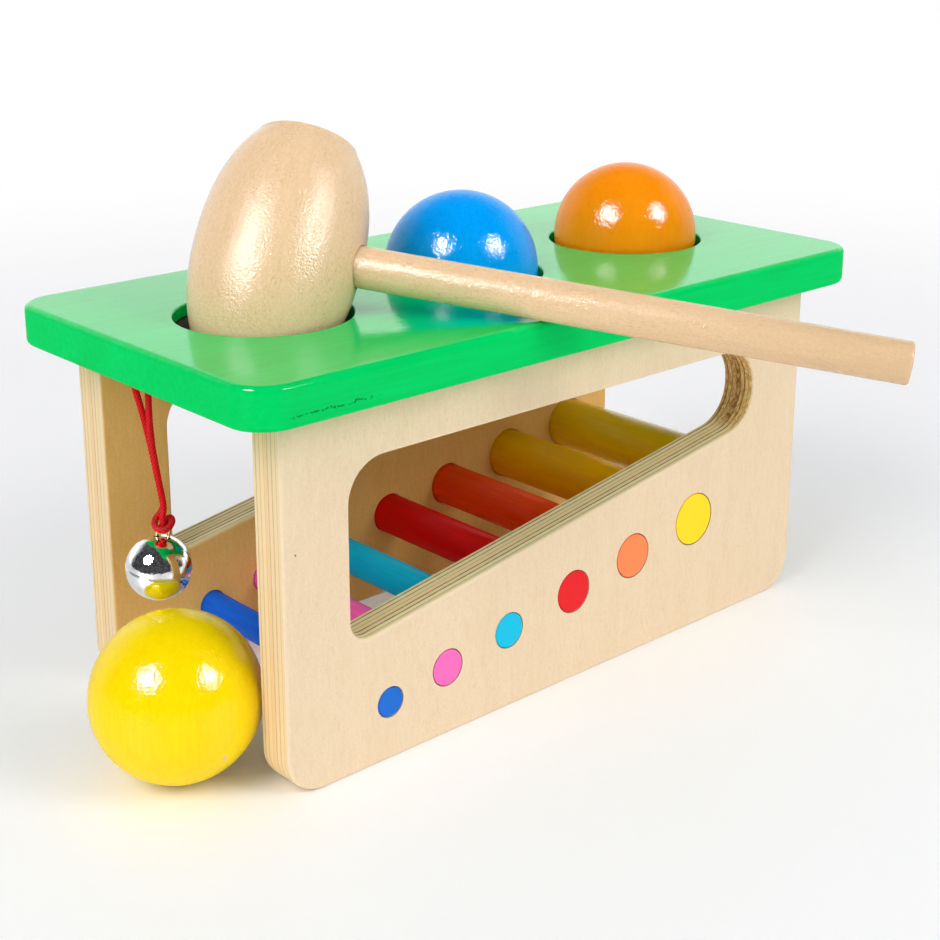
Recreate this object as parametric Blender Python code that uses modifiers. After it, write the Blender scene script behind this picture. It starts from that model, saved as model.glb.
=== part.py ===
"""Ball pounding bench: a painted board on two plywood panels, over a ramp of coloured rods.

Three balls, a mallet that stands in the first hole, and a bell on a cord at the open end.
Metres, +Z up, +X along the board away from the bell, the floor at Z = 0.
"""

import math

import bmesh
import bpy
import numpy as np
from mathutils import Matrix, Vector

# Clearances and cutters
GAP = 0.0003
OVERRUN = 0.002
MERGE_DISTANCE = 0.000001

# Top board
BENCH_HEIGHT = 0.1187
BOARD_LENGTH = 0.2406
BOARD_WIDTH = 0.1194
BOARD_THICKNESS = 0.0118
BOARD_CORNER_RADIUS = 0.0115
BOARD_EDGE_ROUND = 0.0018
HOLE_DIAMETER = 0.0502
HOLE_PITCH = 0.0736
HOLE_ROW_SHIFT = -0.0008
HOLE_RIM_ROUND = 0.0006

# Rubber rings in the holes
RING_SECTION = 0.0044
RING_SQUEEZE = 0.0015
RING_PLAY = 0.0020

# Balls
BALL_DIAMETER = 0.047
FLOOR_BALL_ASIDE = 0.0200
FLOOR_BALL_CLEARANCE = 0.0005

# Side panels and their windows
PANEL_LENGTH = 0.2118
PANEL_THICKNESS = 0.0120
PANEL_SPREAD = 0.0982
PANEL_FOOT_RADIUS = 0.0115
PANEL_EDGE_ROUND = 0.0009
WINDOW_OPEN_END_SHARE = 0.1029
WINDOW_FAR_END_SHARE = 0.8886
WINDOW_TOP_SHARE = 0.8396
WINDOW_SILL_SHARE = 0.3518
WINDOW_FAR_SILL_SHARE = 0.6015
WINDOW_TOP_RADIUS_SHARE = 0.2308
WINDOW_SILL_RADIUS_SHARE = 0.1154
WINDOW_FAR_RADIUS_SHARE = 0.5120

# Ramp rods
ROD_BLUE_DIAMETER = 0.0086
ROD_PINK_DIAMETER = 0.0107
ROD_LIGHT_BLUE_DIAMETER = 0.0105
ROD_RED_DIAMETER = 0.0130
ROD_ORANGE_DIAMETER = 0.0139
ROD_YELLOW_DIAMETER = 0.0168
ROD_END_DIAMETER = 0.0178
ROD_BLUE_STATION_SHARE = -0.336
ROD_PINK_STATION_SHARE = -0.237
ROD_LIGHT_BLUE_STATION_SHARE = -0.124
ROD_RED_STATION_SHARE = 0.002
ROD_ORANGE_STATION_SHARE = 0.125
ROD_YELLOW_STATION_SHARE = 0.260
ROD_END_STATION_SHARE = 0.401
RAMP_HEIGHT_SHARE = 0.2664
RAMP_RISE_SHARE = 0.3139
END_ROD_SEAT = 0.0070

# Hidden dowels between the board and the panels
DOWEL_DIAMETER = 0.0080
DOWEL_IN_BOARD = 0.0070
DOWEL_IN_PANEL = 0.0130
DOWEL_END_ROUND = 0.0008
DOWEL_STATION_SHARES = (-0.40, 0.0, 0.40)

# Mallet
HEAD_LENGTH = 0.0678
HEAD_DIAMETER = 0.0471
HEAD_END_ROUND = 0.0010
BARREL_LENGTH_SHARE = 1.2035
BARREL_POWER = 2.2
HANDLE_DIAMETER = 0.0118
HANDLE_REACH = 0.1733
HANDLE_TENON = 0.0120
HANDLE_END_ROUND = 0.0007
MALLET_TURN = math.radians(-53.83)
MALLET_ROLL = math.radians(-34.23)
MALLET_SEAT_SHARES = (0.135, 0.0279)
RING_PUSH_SHARE = 0.76

# Bell
BELL_DIAMETER = 0.0182
BELL_WALL = 0.0007
BELL_OVER_BALL = 0.0063
BELL_INSET = 0.0082
BELL_LEAN = math.radians(9.0)
BELL_LOOP_WIRE = 0.0009
BELL_LOOP_WIDTH = 0.0041
BELL_LOOP_RISE = 0.0040
BELL_LOOP_FOOT = 0.0013
BELL_SLOT_WIDTH = 0.0012
BELL_SLOT_HOLE = 0.0024
BELL_SLOT_SPREAD = math.radians(33.0)
PELLET_DIAMETER = 0.0045

# Cord and the plug that wedges its two ends in the board
CORD_DIAMETER = 0.0018
CORD_INSET = 0.0056
CORD_TURN = math.radians(-42.2)
CORD_SPREAD = 0.0037
PLUG_LENGTH = 0.0060
PLUG_DIAMETER = 0.0055

# The cord's route from the plug down to the bell's loop and back, in metres. Each point is
# across the cord's plane, towards the front, and up. The first and last two points are from
# the board's underside and the knot's points from the middle of the loop's top wire. Between
# them the third value is the share of the drop from one to the other.
CORD_START = (
    (0.00185, 0.0, 0.0052),
    (0.00185, 0.0, 0.0018),
)
CORD_FALL_SHARES = (
    (0.00180, 0.0001, 0.036),
    (0.00100, 0.0006, 0.217),
    (0.00055, 0.0011, 0.435),
    (0.00075, 0.0013, 0.640),
)
CORD_KNOT = (
    (0.00030, 0.0013, 0.0062),
    (0.0, 0.0015, 0.0030),
    (0.0, 0.00158, 0.0002),
    (0.0, 0.00115, -0.0011),
    (0.0, 0.0, -0.00160),
    (0.0, -0.00115, -0.0011),
    (0.0001, -0.0016, 0.0002),
    (0.0009, -0.0015, 0.0013),
    (0.00195, -0.0006, 0.0016),
    (0.00235, 0.0009, 0.0011),
    (0.0017, 0.0027, 0.0002),
    (0.0, 0.00355, -0.0002),
    (-0.0017, 0.0027, 0.0002),
    (-0.00235, 0.0009, 0.0010),
    (-0.0020, -0.0006, 0.0019),
    (-0.0011, -0.0014, 0.0031),
    (-0.0003, -0.0012, 0.0046),
    (-0.0002, -0.0010, 0.0064),
)
CORD_RISE_SHARES = (
    (0.00010, -0.0008, 0.640),
    (-0.00035, -0.0011, 0.435),
    (-0.00110, -0.0009, 0.217),
    (-0.00180, -0.0002, 0.036),
)
CORD_END = (
    (-0.00185, 0.0, 0.0018),
    (-0.00185, 0.0, 0.0052),
)

# Facets
BALL_STEPS = 26
HOLE_STEPS = 32
RING_STEPS = 32
RING_SECTION_STEPS = 6
ROD_STEPS = 28
DOWEL_STEPS = 12
HEAD_STEPS = 32
HEAD_SIDE_POINTS = 13
HANDLE_STEPS = 24
BELL_STEPS = 24
BELL_ARC_STEPS = 6
CORNER_STEPS = 6
WINDOW_STEPS = 7
ROUND_STEPS = 2
CORD_POINTS_PER_SPAN = 2

COLOURS = {
    "green_paint": ((0.02, 0.62, 0.16), 0.18, 0.0),
    "birch_ply": ((0.80, 0.66, 0.45), 0.5, 0.0),
    "beech": ((0.82, 0.60, 0.37), 0.4, 0.0),
    "blue_paint": ((0.02, 0.10, 0.55), 0.25, 0.0),
    "pink_paint": ((0.85, 0.13, 0.42), 0.25, 0.0),
    "light_blue_paint": ((0.02, 0.45, 0.72), 0.25, 0.0),
    "red_paint": ((0.72, 0.02, 0.03), 0.25, 0.0),
    "orange_rod_paint": ((0.85, 0.20, 0.08), 0.25, 0.0),
    "yellow_paint": ((0.88, 0.68, 0.02), 0.25, 0.0),
    "blue_ball_paint": ((0.01, 0.24, 0.78), 0.15, 0.0),
    "orange_ball_paint": ((0.93, 0.24, 0.01), 0.15, 0.0),
    "yellow_ball_paint": ((0.95, 0.72, 0.01), 0.15, 0.0),
    "black_rubber": ((0.02, 0.02, 0.02), 0.7, 0.0),
    "chrome": ((0.85, 0.85, 0.85), 0.08, 1.0),
    "steel": ((0.55, 0.55, 0.55), 0.25, 1.0),
    "brass_wire": ((0.75, 0.60, 0.30), 0.2, 1.0),
    "red_cord": ((0.62, 0.01, 0.02), 0.8, 0.0),
}

# Each ramp rod: its diameter, its station along the panels, and its paint
RODS = {
    "rod_blue": (ROD_BLUE_DIAMETER, ROD_BLUE_STATION_SHARE, "blue_paint"),
    "rod_pink": (ROD_PINK_DIAMETER, ROD_PINK_STATION_SHARE, "pink_paint"),
    "rod_light_blue": (ROD_LIGHT_BLUE_DIAMETER, ROD_LIGHT_BLUE_STATION_SHARE, "light_blue_paint"),
    "rod_red": (ROD_RED_DIAMETER, ROD_RED_STATION_SHARE, "red_paint"),
    "rod_orange": (ROD_ORANGE_DIAMETER, ROD_ORANGE_STATION_SHARE, "orange_rod_paint"),
    "rod_yellow": (ROD_YELLOW_DIAMETER, ROD_YELLOW_STATION_SHARE, "yellow_paint"),
    "rod_end": (ROD_END_DIAMETER, ROD_END_STATION_SHARE, "yellow_paint"),
}

# Sizes worked out from the ones above
BALL_RADIUS = BALL_DIAMETER / 2
HOLE_RADIUS = HOLE_DIAMETER / 2
BOARD_UNDERSIDE = BENCH_HEIGHT - BOARD_THICKNESS
BOARD_MIDDLE = BENCH_HEIGHT - BOARD_THICKNESS / 2
PANEL_HEIGHT = BOARD_UNDERSIDE - GAP
PANEL_MIDDLE_Y = (PANEL_SPREAD - PANEL_THICKNESS) / 2
PANEL_INNER_Y = PANEL_SPREAD / 2 - PANEL_THICKNESS
RING_RADIUS = (BALL_DIAMETER - RING_SQUEEZE + RING_SECTION) / 2
HOLE_STATIONS = {
    "mallet": HOLE_ROW_SHIFT - HOLE_PITCH,
    "middle": HOLE_ROW_SHIFT,
    "far": HOLE_ROW_SHIFT + HOLE_PITCH,
}


def ball_rest_height():
    """The height at which a ball's centre stands when the ball rests on its rubber ring."""
    reach = BALL_RADIUS + RING_SECTION / 2 + GAP
    return BOARD_MIDDLE + math.sqrt(reach**2 - RING_RADIUS**2)


def floor_ball_place():
    """The centre of the ball on the floor, close by the front panel's inner end edge."""
    out = math.sqrt((BALL_RADIUS + FLOOR_BALL_CLEARANCE) ** 2 - FLOOR_BALL_ASIDE**2)
    return Vector((-PANEL_LENGTH / 2 - out, FLOOR_BALL_ASIDE - PANEL_INNER_Y, BALL_RADIUS))


def rod_place(station):
    """(x, z) of a rod's axis on the ramp's slope, from its station's share of the panels."""
    rise_share = RAMP_HEIGHT_SHARE + RAMP_RISE_SHARE * station
    return station * PANEL_LENGTH, rise_share * PANEL_HEIGHT


def barrel_radius(along):
    """The mallet head's radius at a distance along its axis from the middle."""
    long_half = BARREL_LENGTH_SHARE * HEAD_LENGTH / 2
    return HEAD_DIAMETER / 2 * np.sqrt(1 - (np.abs(along) / long_half) ** BARREL_POWER)


def head_axis(direction):
    """The head's axis: square to the handle, rolled about it from the upright."""
    upright = Vector((0, 0, 1)) - direction * direction.z
    upright.normalize()
    return math.cos(MALLET_ROLL) * upright + math.sin(MALLET_ROLL) * direction.cross(upright)


def handle_direction(rise):
    return Vector(
        (
            math.cos(rise) * math.cos(MALLET_TURN),
            math.cos(rise) * math.sin(MALLET_TURN),
            math.sin(rise),
        )
    )


def ring_push(axis):
    """How far the leaning head pushes the first hole's ring aside in its groove."""
    lean = Vector((axis.x, axis.y, 0)).normalized()
    return lean * -RING_PUSH_SHARE * RING_PLAY


def seat_circles(axis):
    """The circles the head can touch: (points, round the circle's own radius) for each.

    They are the two rounded rims of the first hole, and the rubber ring half way down it.
    """
    turn = np.linspace(0, 2 * math.pi, 4 * HOLE_STEPS, endpoint=False)
    rim = HOLE_RADIUS + HOLE_RIM_ROUND
    hole = Vector((HOLE_STATIONS["mallet"], 0, 0))
    circles = (
        (hole, rim, BENCH_HEIGHT - HOLE_RIM_ROUND, HOLE_RIM_ROUND),
        (hole + ring_push(axis), RING_RADIUS, BOARD_MIDDLE, RING_SECTION / 2),
        (hole, rim, BOARD_UNDERSIDE + HOLE_RIM_ROUND, HOLE_RIM_ROUND),
    )
    for centre, radius, height, thickness in circles:
        across = centre.x + radius * np.cos(turn)
        beside = centre.y + radius * np.sin(turn)
        yield np.stack([across, beside, np.full_like(turn, height)], axis=1), thickness


def head_distance(centre, axis, points):
    """The least distance from the points to the head's surface, negative inside it."""
    apart = points - np.array(centre)
    along = apart @ np.array(axis)
    out = np.linalg.norm(apart - along[:, None] * np.array(axis), axis=1)
    half = HEAD_LENGTH / 2
    past = np.abs(along) - half
    side = out - barrel_radius(np.clip(along, -half, half))
    beyond = np.hypot(np.maximum(past, 0), np.maximum(side, 0))
    return float(np.where(past > 0, beyond, side).min())


def solve_rising(clearance, low, high):
    """The value between low and high at which a clearance that rises with it equals GAP."""
    for _ in range(40):
        middle = (low + high) / 2
        low, high = (low, middle) if clearance(middle) > GAP else (middle, high)
    return (low + high) / 2


def mallet_pose():
    """(head's centre, handle's direction): the head leans in its hole, the handle on the edge."""
    x = HOLE_STATIONS["mallet"] + MALLET_SEAT_SHARES[0] * HOLE_DIAMETER
    y = MALLET_SEAT_SHARES[1] * HOLE_DIAMETER
    edge = Vector((0, BOARD_EDGE_ROUND - BOARD_WIDTH / 2, BENCH_HEIGHT - BOARD_EDGE_ROUND))

    def head_height(direction):
        axis = head_axis(direction)
        circles = list(seat_circles(axis))
        return solve_rising(
            lambda z: min(head_distance((x, y, z), axis, p) - r for p, r in circles),
            BENCH_HEIGHT - HEAD_LENGTH / 2,
            BENCH_HEIGHT + HEAD_LENGTH,
        )

    def handle_clearance(rise):
        direction = handle_direction(rise)
        across = Vector((1, 0, 0)).cross(direction).normalized()
        if across.z < 0:
            across.negate()
        centre = Vector((x, y, head_height(direction)))
        return (centre - edge).dot(across) - HANDLE_DIAMETER / 2 - BOARD_EDGE_ROUND

    rise = solve_rising(handle_clearance, math.radians(-30), math.radians(20))
    direction = handle_direction(rise)
    return Vector((x, y, head_height(direction))), direction


MALLET_CENTRE, MALLET_DIRECTION = mallet_pose()


def frame_shift():
    """What brings the middle of the whole object's plan to the origin."""
    low_x = floor_ball_place().x - BALL_RADIUS
    high_x = BOARD_LENGTH / 2
    end = MALLET_CENTRE + MALLET_DIRECTION * (HANDLE_REACH - HANDLE_END_ROUND)
    low_y = end.y - HANDLE_DIAMETER / 2 * math.sqrt(1 - MALLET_DIRECTION.y**2)
    return Vector((-(low_x + high_x) / 2, -(low_y + BOARD_WIDTH / 2) / 2, 0))


def bell_centre():
    return Vector((BELL_INSET - BOARD_LENGTH / 2, 0, BALL_DIAMETER + BELL_OVER_BALL))


def cord_exit():
    """The middle of the cord's plug on the board's underside, where the bell's cord swings."""
    return Vector((CORD_INSET - BOARD_LENGTH / 2, 0, BOARD_UNDERSIDE))


def cord_axes():
    """The directions across the cord's plane, towards the front, and up."""
    across = Vector((math.cos(CORD_TURN), math.sin(CORD_TURN), 0))
    return across, Vector((0, 0, 1)).cross(across) * -1, Vector((0, 0, 1))


def bell_axis():
    across, _, up = cord_axes()
    return math.cos(BELL_LEAN) * up + math.sin(BELL_LEAN) * across


def clear_scene():
    for old in list(bpy.data.objects):
        bpy.data.objects.remove(old, do_unlink=True)


def new_collection(name):
    collection = bpy.data.collections.new(name)
    bpy.context.scene.collection.children.link(collection)
    return collection


def make_material(name):
    colour, roughness, metallic = COLOURS[name]
    material = bpy.data.materials.get(name) or bpy.data.materials.new(name)
    material.use_nodes = True
    shader = material.node_tree.nodes["Principled BSDF"]
    shader.inputs["Base Color"].default_value = (*colour, 1)
    shader.inputs["Roughness"].default_value = roughness
    shader.inputs["Metallic"].default_value = metallic
    return material


def smooth_shade(mesh):
    mesh.shade_smooth()
    mesh.set_sharp_from_angle(angle=math.radians(35))


class Assembly:
    """Holds the collections and the empties that the pieces hang from."""

    def __init__(self):
        self.parts = new_collection("ball_pounding_bench")
        self.cutters = new_collection("cutters")
        self.frame = self.empty("bench_frame", frame_shift(), None)

    def empty(self, name, place, parent):
        pivot = bpy.data.objects.new(name, None)
        pivot.location = place
        pivot.parent = parent
        self.parts.objects.link(pivot)
        return pivot

    def part(self, name, data, material, place=(0, 0, 0), parent=None):
        piece = bpy.data.objects.new(name, data)
        piece.location = place
        piece.parent = parent or self.frame
        data.materials.clear()
        data.materials.append(make_material(material))
        self.parts.objects.link(piece)
        return piece

    def cutter(self, name, mesh, place=(0, 0, 0), parent=None):
        tool = bpy.data.objects.new(name, mesh)
        tool.location = place
        tool.parent = parent or self.frame
        tool.hide_render = True
        tool.display_type = "WIRE"
        self.cutters.objects.link(tool)
        return tool


def cut(piece, tool):
    boolean = piece.modifiers.new(tool.name, "BOOLEAN")
    boolean.operation = "DIFFERENCE"
    boolean.solver = "EXACT"
    boolean.object = tool


def mesh_from(name, build):
    """A mesh made by a function that fills a bmesh."""
    shape = bmesh.new()
    build(shape)
    bmesh.ops.recalc_face_normals(shape, faces=shape.faces)
    mesh = bpy.data.meshes.new(name)
    shape.to_mesh(mesh)
    shape.free()
    smooth_shade(mesh)
    return mesh


def add_rod(shape, radius, start, end, steps):
    """Adds a closed cylinder between two points."""
    start, end = Vector(start), Vector(end)
    turn = (end - start).to_track_quat("Z", "Y").to_matrix().to_4x4()
    bmesh.ops.create_cone(
        shape,
        cap_ends=True,
        segments=steps,
        radius1=radius,
        radius2=radius,
        depth=(end - start).length,
        matrix=Matrix.Translation((start + end) / 2) @ turn,
    )


def rod_mesh(name, radius, start, end, steps, end_round=0.0):
    """A cylinder between two points, with its end edges rounded over."""

    def build(shape):
        add_rod(shape, radius, start, end, steps)
        if end_round:
            rims = [e for e in shape.edges if e.calc_face_angle(0) > math.radians(60)]
            bmesh.ops.bevel(
                shape,
                geom=rims,
                offset=end_round,
                segments=ROUND_STEPS,
                profile=0.5,
                affect="EDGES",
                material=-1,
            )

    return mesh_from(name, build)


def turned_mesh(name, profile):
    """An open profile in the XZ plane, for a Screw modifier to turn about Z."""
    mesh = bpy.data.meshes.new(name)
    ends = [(i, i + 1) for i in range(len(profile) - 1)]
    mesh.from_pydata([(r, 0, z) for r, z in profile], ends, [])
    return mesh


def turn_profile(piece, steps):
    screw = piece.modifiers.new("turned", "SCREW")
    screw.steps = steps
    screw.render_steps = steps
    screw.use_merge_vertices = True
    screw.merge_threshold = MERGE_DISTANCE
    screw.use_smooth_shade = True


def arc(centre, radius, start, end, steps):
    """Points on an arc between two angles in radians, both ends included."""
    turns = np.linspace(start, end, steps + 1)
    return [(centre[0] + radius * math.cos(t), centre[1] + radius * math.sin(t)) for t in turns]


def filleted(corners, steps):
    """An outline from (x, y, radius) corners, anticlockwise, each rounded by its radius."""
    outline = []
    for i, (x, y, radius) in enumerate(corners):
        corner = Vector((x, y))
        if not radius:
            outline.append(corner)
            continue
        back = (Vector(corners[i - 1][:2]) - corner).normalized()
        ahead = (Vector(corners[(i + 1) % len(corners)][:2]) - corner).normalized()
        half = back.angle(ahead) / 2
        centre = corner + (back + ahead).normalized() * radius / math.sin(half)
        first = corner + back * radius / math.tan(half) - centre
        sweep = math.pi - 2 * half
        for k in range(steps + 1):
            outline.append(centre + Matrix.Rotation(sweep * k / steps, 2) @ first)
    return outline


def plate_mesh(name, outlines, thickness):
    """A flat plate from closed outlines, the later ones being holes, as a mesh in its XY plane."""
    curve = bpy.data.curves.new(name, "CURVE")
    curve.dimensions = "2D"
    curve.fill_mode = "BOTH"
    curve.extrude = thickness / 2
    for outline in outlines:
        spline = curve.splines.new("POLY")
        spline.points.add(len(outline) - 1)
        spline.use_cyclic_u = True
        for point, (x, y) in zip(spline.points, outline):
            point.co = (x, y, 0, 1)
    guide = bpy.data.objects.new(name, curve)
    bpy.context.scene.collection.objects.link(guide)
    graph = bpy.context.evaluated_depsgraph_get()
    mesh = bpy.data.meshes.new_from_object(guide.evaluated_get(graph))
    bpy.data.objects.remove(guide, do_unlink=True)
    shape = bmesh.new()
    shape.from_mesh(mesh)
    bmesh.ops.remove_doubles(shape, verts=shape.verts, dist=MERGE_DISTANCE)
    bmesh.ops.recalc_face_normals(shape, faces=shape.faces)
    shape.to_mesh(mesh)
    shape.free()
    return mesh


def round_edges(piece, width):
    bevel = piece.modifiers.new("rounded edges", "BEVEL")
    bevel.limit_method = "ANGLE"
    bevel.angle_limit = math.radians(60)
    bevel.width = width
    bevel.segments = ROUND_STEPS
    bevel.use_clamp_overlap = True


def board_outline():
    half_x, half_y, corner = BOARD_LENGTH / 2, BOARD_WIDTH / 2, BOARD_CORNER_RADIUS
    corners = ((-half_x, -half_y), (half_x, -half_y), (half_x, half_y), (-half_x, half_y))
    return filleted([(x, y, corner) for x, y in corners], CORNER_STEPS)


def hole_profile():
    """The outer side, top to bottom, of what a ball hole with its ring groove takes away."""
    rim, half, wall = HOLE_RIM_ROUND, BOARD_THICKNESS / 2, HOLE_RADIUS
    groove = RING_RADIUS + RING_SECTION / 2 + RING_PLAY + GAP
    groove_half = RING_SECTION / 2 + GAP
    upper = arc((wall + rim, half - rim), rim, math.pi / 2, math.pi, ROUND_STEPS)
    lower = [(r, -z) for r, z in reversed(upper)]
    return [
        (0, half + OVERRUN),
        (wall + rim, half + OVERRUN),
        *upper,
        (wall, groove_half),
        (groove, groove_half),
        (groove, -groove_half),
        (wall, -groove_half),
        *lower,
        (wall + rim, -half - OVERRUN),
        (0, -half - OVERRUN),
    ]


def dowel_places():
    for side, y in (("front", -PANEL_MIDDLE_Y), ("back", PANEL_MIDDLE_Y)):
        for number, share in enumerate(DOWEL_STATION_SHARES, start=1):
            yield f"dowel_{side}_{number}", share * PANEL_LENGTH, y


def make_board(assembly):
    mesh = plate_mesh("top_board", [board_outline()], BOARD_THICKNESS)
    smooth_shade(mesh)
    board = assembly.part("top_board", mesh, "green_paint", (0, 0, BOARD_MIDDLE))
    round_edges(board, BOARD_EDGE_ROUND)
    for name, x in HOLE_STATIONS.items():
        tool = assembly.cutter(
            f"{name}_hole_cutter", turned_mesh(name, hole_profile()), (x, 0, BOARD_MIDDLE)
        )
        turn_profile(tool, HOLE_STEPS)
        cut(board, tool)

    def bores(shape):
        for _, x, y in dowel_places():
            low = Vector((x, y, BOARD_UNDERSIDE - OVERRUN))
            high = Vector((x, y, BOARD_UNDERSIDE + DOWEL_IN_BOARD + GAP))
            add_rod(shape, DOWEL_DIAMETER / 2 + GAP, low, high, DOWEL_STEPS)
        low = cord_exit() - Vector((0, 0, OVERRUN))
        high = cord_exit() + Vector((0, 0, PLUG_LENGTH + GAP))
        add_rod(shape, PLUG_DIAMETER / 2 + GAP, low, high, ROD_STEPS)

    cut(board, assembly.cutter("board_bores", mesh_from("board_bores", bores)))
    return board


def make_rings(assembly):
    for name, x in HOLE_STATIONS.items():
        steps = [
            (
                RING_RADIUS + RING_SECTION / 2 * math.cos(t),
                RING_SECTION / 2 * math.sin(t),
            )
            for t in np.linspace(math.pi, -math.pi, RING_SECTION_STEPS + 1)
        ]
        mesh = turned_mesh(f"{name}_ring", steps)
        place = Vector((x, 0, BOARD_MIDDLE))
        if name == "mallet":
            place += ring_push(head_axis(MALLET_DIRECTION))
        ring = assembly.part(f"{name}_hole_ring", mesh, "black_rubber", place)
        turn_profile(ring, RING_STEPS)
        weld = ring.modifiers.new("closed section", "WELD")
        weld.merge_threshold = MERGE_DISTANCE


def window_outline():
    """The window: its place in shares of the panel, its radii in shares of its end heights."""
    left = (WINDOW_OPEN_END_SHARE - 0.5) * PANEL_LENGTH
    right = (WINDOW_FAR_END_SHARE - 0.5) * PANEL_LENGTH
    top = WINDOW_TOP_SHARE * PANEL_HEIGHT
    sill = WINDOW_SILL_SHARE * PANEL_HEIGHT
    far_sill = WINDOW_FAR_SILL_SHARE * PANEL_HEIGHT
    far_radius = WINDOW_FAR_RADIUS_SHARE * (top - far_sill)
    corners = [
        (left, sill, WINDOW_SILL_RADIUS_SHARE * (top - sill)),
        (right, far_sill, far_radius),
        (right, top, far_radius),
        (left, top, WINDOW_TOP_RADIUS_SHARE * (top - sill)),
    ]
    return filleted(corners, WINDOW_STEPS)


def panel_outline():
    half = PANEL_LENGTH / 2
    corners = [
        (-half, 0, PANEL_FOOT_RADIUS),
        (half, 0, PANEL_FOOT_RADIUS),
        (half, PANEL_HEIGHT, 0),
        (-half, PANEL_HEIGHT, 0),
    ]
    return filleted(corners, CORNER_STEPS)


def make_panels(assembly):
    """The two side panels: rods pass through both, apart from the end rod's blind seats."""
    mesh = plate_mesh("side_panel", [panel_outline(), window_outline()], PANEL_THICKNESS)
    smooth_shade(mesh)
    for name, side in (("front_panel", -1), ("back_panel", 1)):
        middle = side * PANEL_MIDDLE_Y
        panel = assembly.part(name, mesh.copy(), "birch_ply", (0, middle, 0))
        panel.rotation_euler = (math.pi / 2, 0, 0)
        round_edges(panel, PANEL_EDGE_ROUND)

        def bores(shape):
            for rod, (diameter, station, _) in RODS.items():
                x, z = rod_place(station)
                inner = side * (PANEL_INNER_Y - OVERRUN)
                outer = side * (PANEL_SPREAD / 2 + OVERRUN)
                if rod == "rod_end":
                    outer = side * (PANEL_INNER_Y + END_ROD_SEAT + GAP)
                ends = ((x, inner, z), (x, outer, z))
                add_rod(shape, diameter / 2 + GAP, *ends, ROD_STEPS)
            for _, x, y in dowel_places():
                if y * side > 0:
                    low = Vector((x, y, PANEL_HEIGHT - DOWEL_IN_PANEL - GAP))
                    high = Vector((x, y, PANEL_HEIGHT + OVERRUN))
                    add_rod(shape, DOWEL_DIAMETER / 2 + GAP, low, high, DOWEL_STEPS)

        cut(panel, assembly.cutter(f"{name}_bores", mesh_from(f"{name}_bores", bores)))


def make_rods(assembly):
    for name, (diameter, station, paint) in RODS.items():
        x, z = rod_place(station)
        half = PANEL_SPREAD / 2
        if name == "rod_end":
            half = PANEL_INNER_Y + END_ROD_SEAT
        ends = ((0, -half, 0), (0, half, 0))
        mesh = rod_mesh(name, diameter / 2, *ends, ROD_STEPS)
        assembly.part(name, mesh, paint, (x, 0, z))


def make_dowels(assembly):
    low = (0, 0, -DOWEL_IN_PANEL)
    high = (0, 0, DOWEL_IN_BOARD)
    for name, x, y in dowel_places():
        mesh = rod_mesh(name, DOWEL_DIAMETER / 2, low, high, DOWEL_STEPS, DOWEL_END_ROUND)
        assembly.part(name, mesh, "beech", (x, y, BOARD_UNDERSIDE))


def make_balls(assembly):
    height = ball_rest_height()
    places = {
        "ball_blue": (HOLE_STATIONS["middle"], 0, height),
        "ball_orange": (HOLE_STATIONS["far"], 0, height),
        "ball_yellow": floor_ball_place(),
    }
    for name, place in places.items():
        mesh = mesh_from(
            name,
            lambda shape: bmesh.ops.create_uvsphere(
                shape, u_segments=BALL_STEPS, v_segments=BALL_STEPS // 2, radius=BALL_RADIUS
            ),
        )
        colour = name.split("_")[1]
        assembly.part(name, mesh, f"{colour}_ball_paint", place)


def head_profile():
    """The barrel's outer side, from the middle of its top face down to that of its low face."""
    half = HEAD_LENGTH / 2
    straight = half - HEAD_END_ROUND
    heights = np.linspace(straight, -straight, HEAD_SIDE_POINTS)
    side = [(float(barrel_radius(z)), float(z)) for z in heights]
    face = float(barrel_radius(half)) - HEAD_END_ROUND
    return [(0, half), (face, half), *side, (face, -half), (0, -half)]


def make_mallet(assembly):
    """A turned head with a blind socket, and a rod handle whose tenon seats in it."""
    pivot = assembly.empty("mallet_pivot", MALLET_CENTRE, assembly.frame)
    direction = MALLET_DIRECTION
    axis = head_axis(direction)
    head = assembly.part(
        "mallet_head", turned_mesh("mallet_head", head_profile()), "beech", parent=pivot
    )
    across = direction.cross(axis)
    head.rotation_euler = Matrix((direction, across * -1, axis)).transposed().to_euler()
    turn_profile(head, HEAD_STEPS)
    socket = rod_mesh(
        "handle_socket",
        HANDLE_DIAMETER / 2 + GAP,
        direction * -(HANDLE_TENON + GAP),
        direction * HEAD_DIAMETER,
        HANDLE_STEPS,
    )
    cut(head, assembly.cutter("handle_socket", socket, parent=pivot))
    handle = rod_mesh(
        "mallet_handle",
        HANDLE_DIAMETER / 2,
        direction * -HANDLE_TENON,
        direction * HANDLE_REACH,
        HANDLE_STEPS,
        HANDLE_END_ROUND,
    )
    assembly.part("mallet_handle", handle, "beech", parent=pivot)


def dome_profile(sign):
    """Half of the bell's wall, from its pole over the rim and back, top to bottom."""
    outer, inner = BELL_DIAMETER / 2, BELL_DIAMETER / 2 - BELL_WALL
    lift = GAP / 2

    def quarter(radius):
        low = math.asin(lift / radius)
        return [
            (radius * math.cos(t), radius * math.sin(t))
            for t in np.linspace(math.pi / 2, low, BELL_ARC_STEPS + 1)
        ]

    points = quarter(outer) + quarter(inner)[::-1]
    return points if sign > 0 else [(r, -z) for r, z in reversed(points)]


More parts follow.
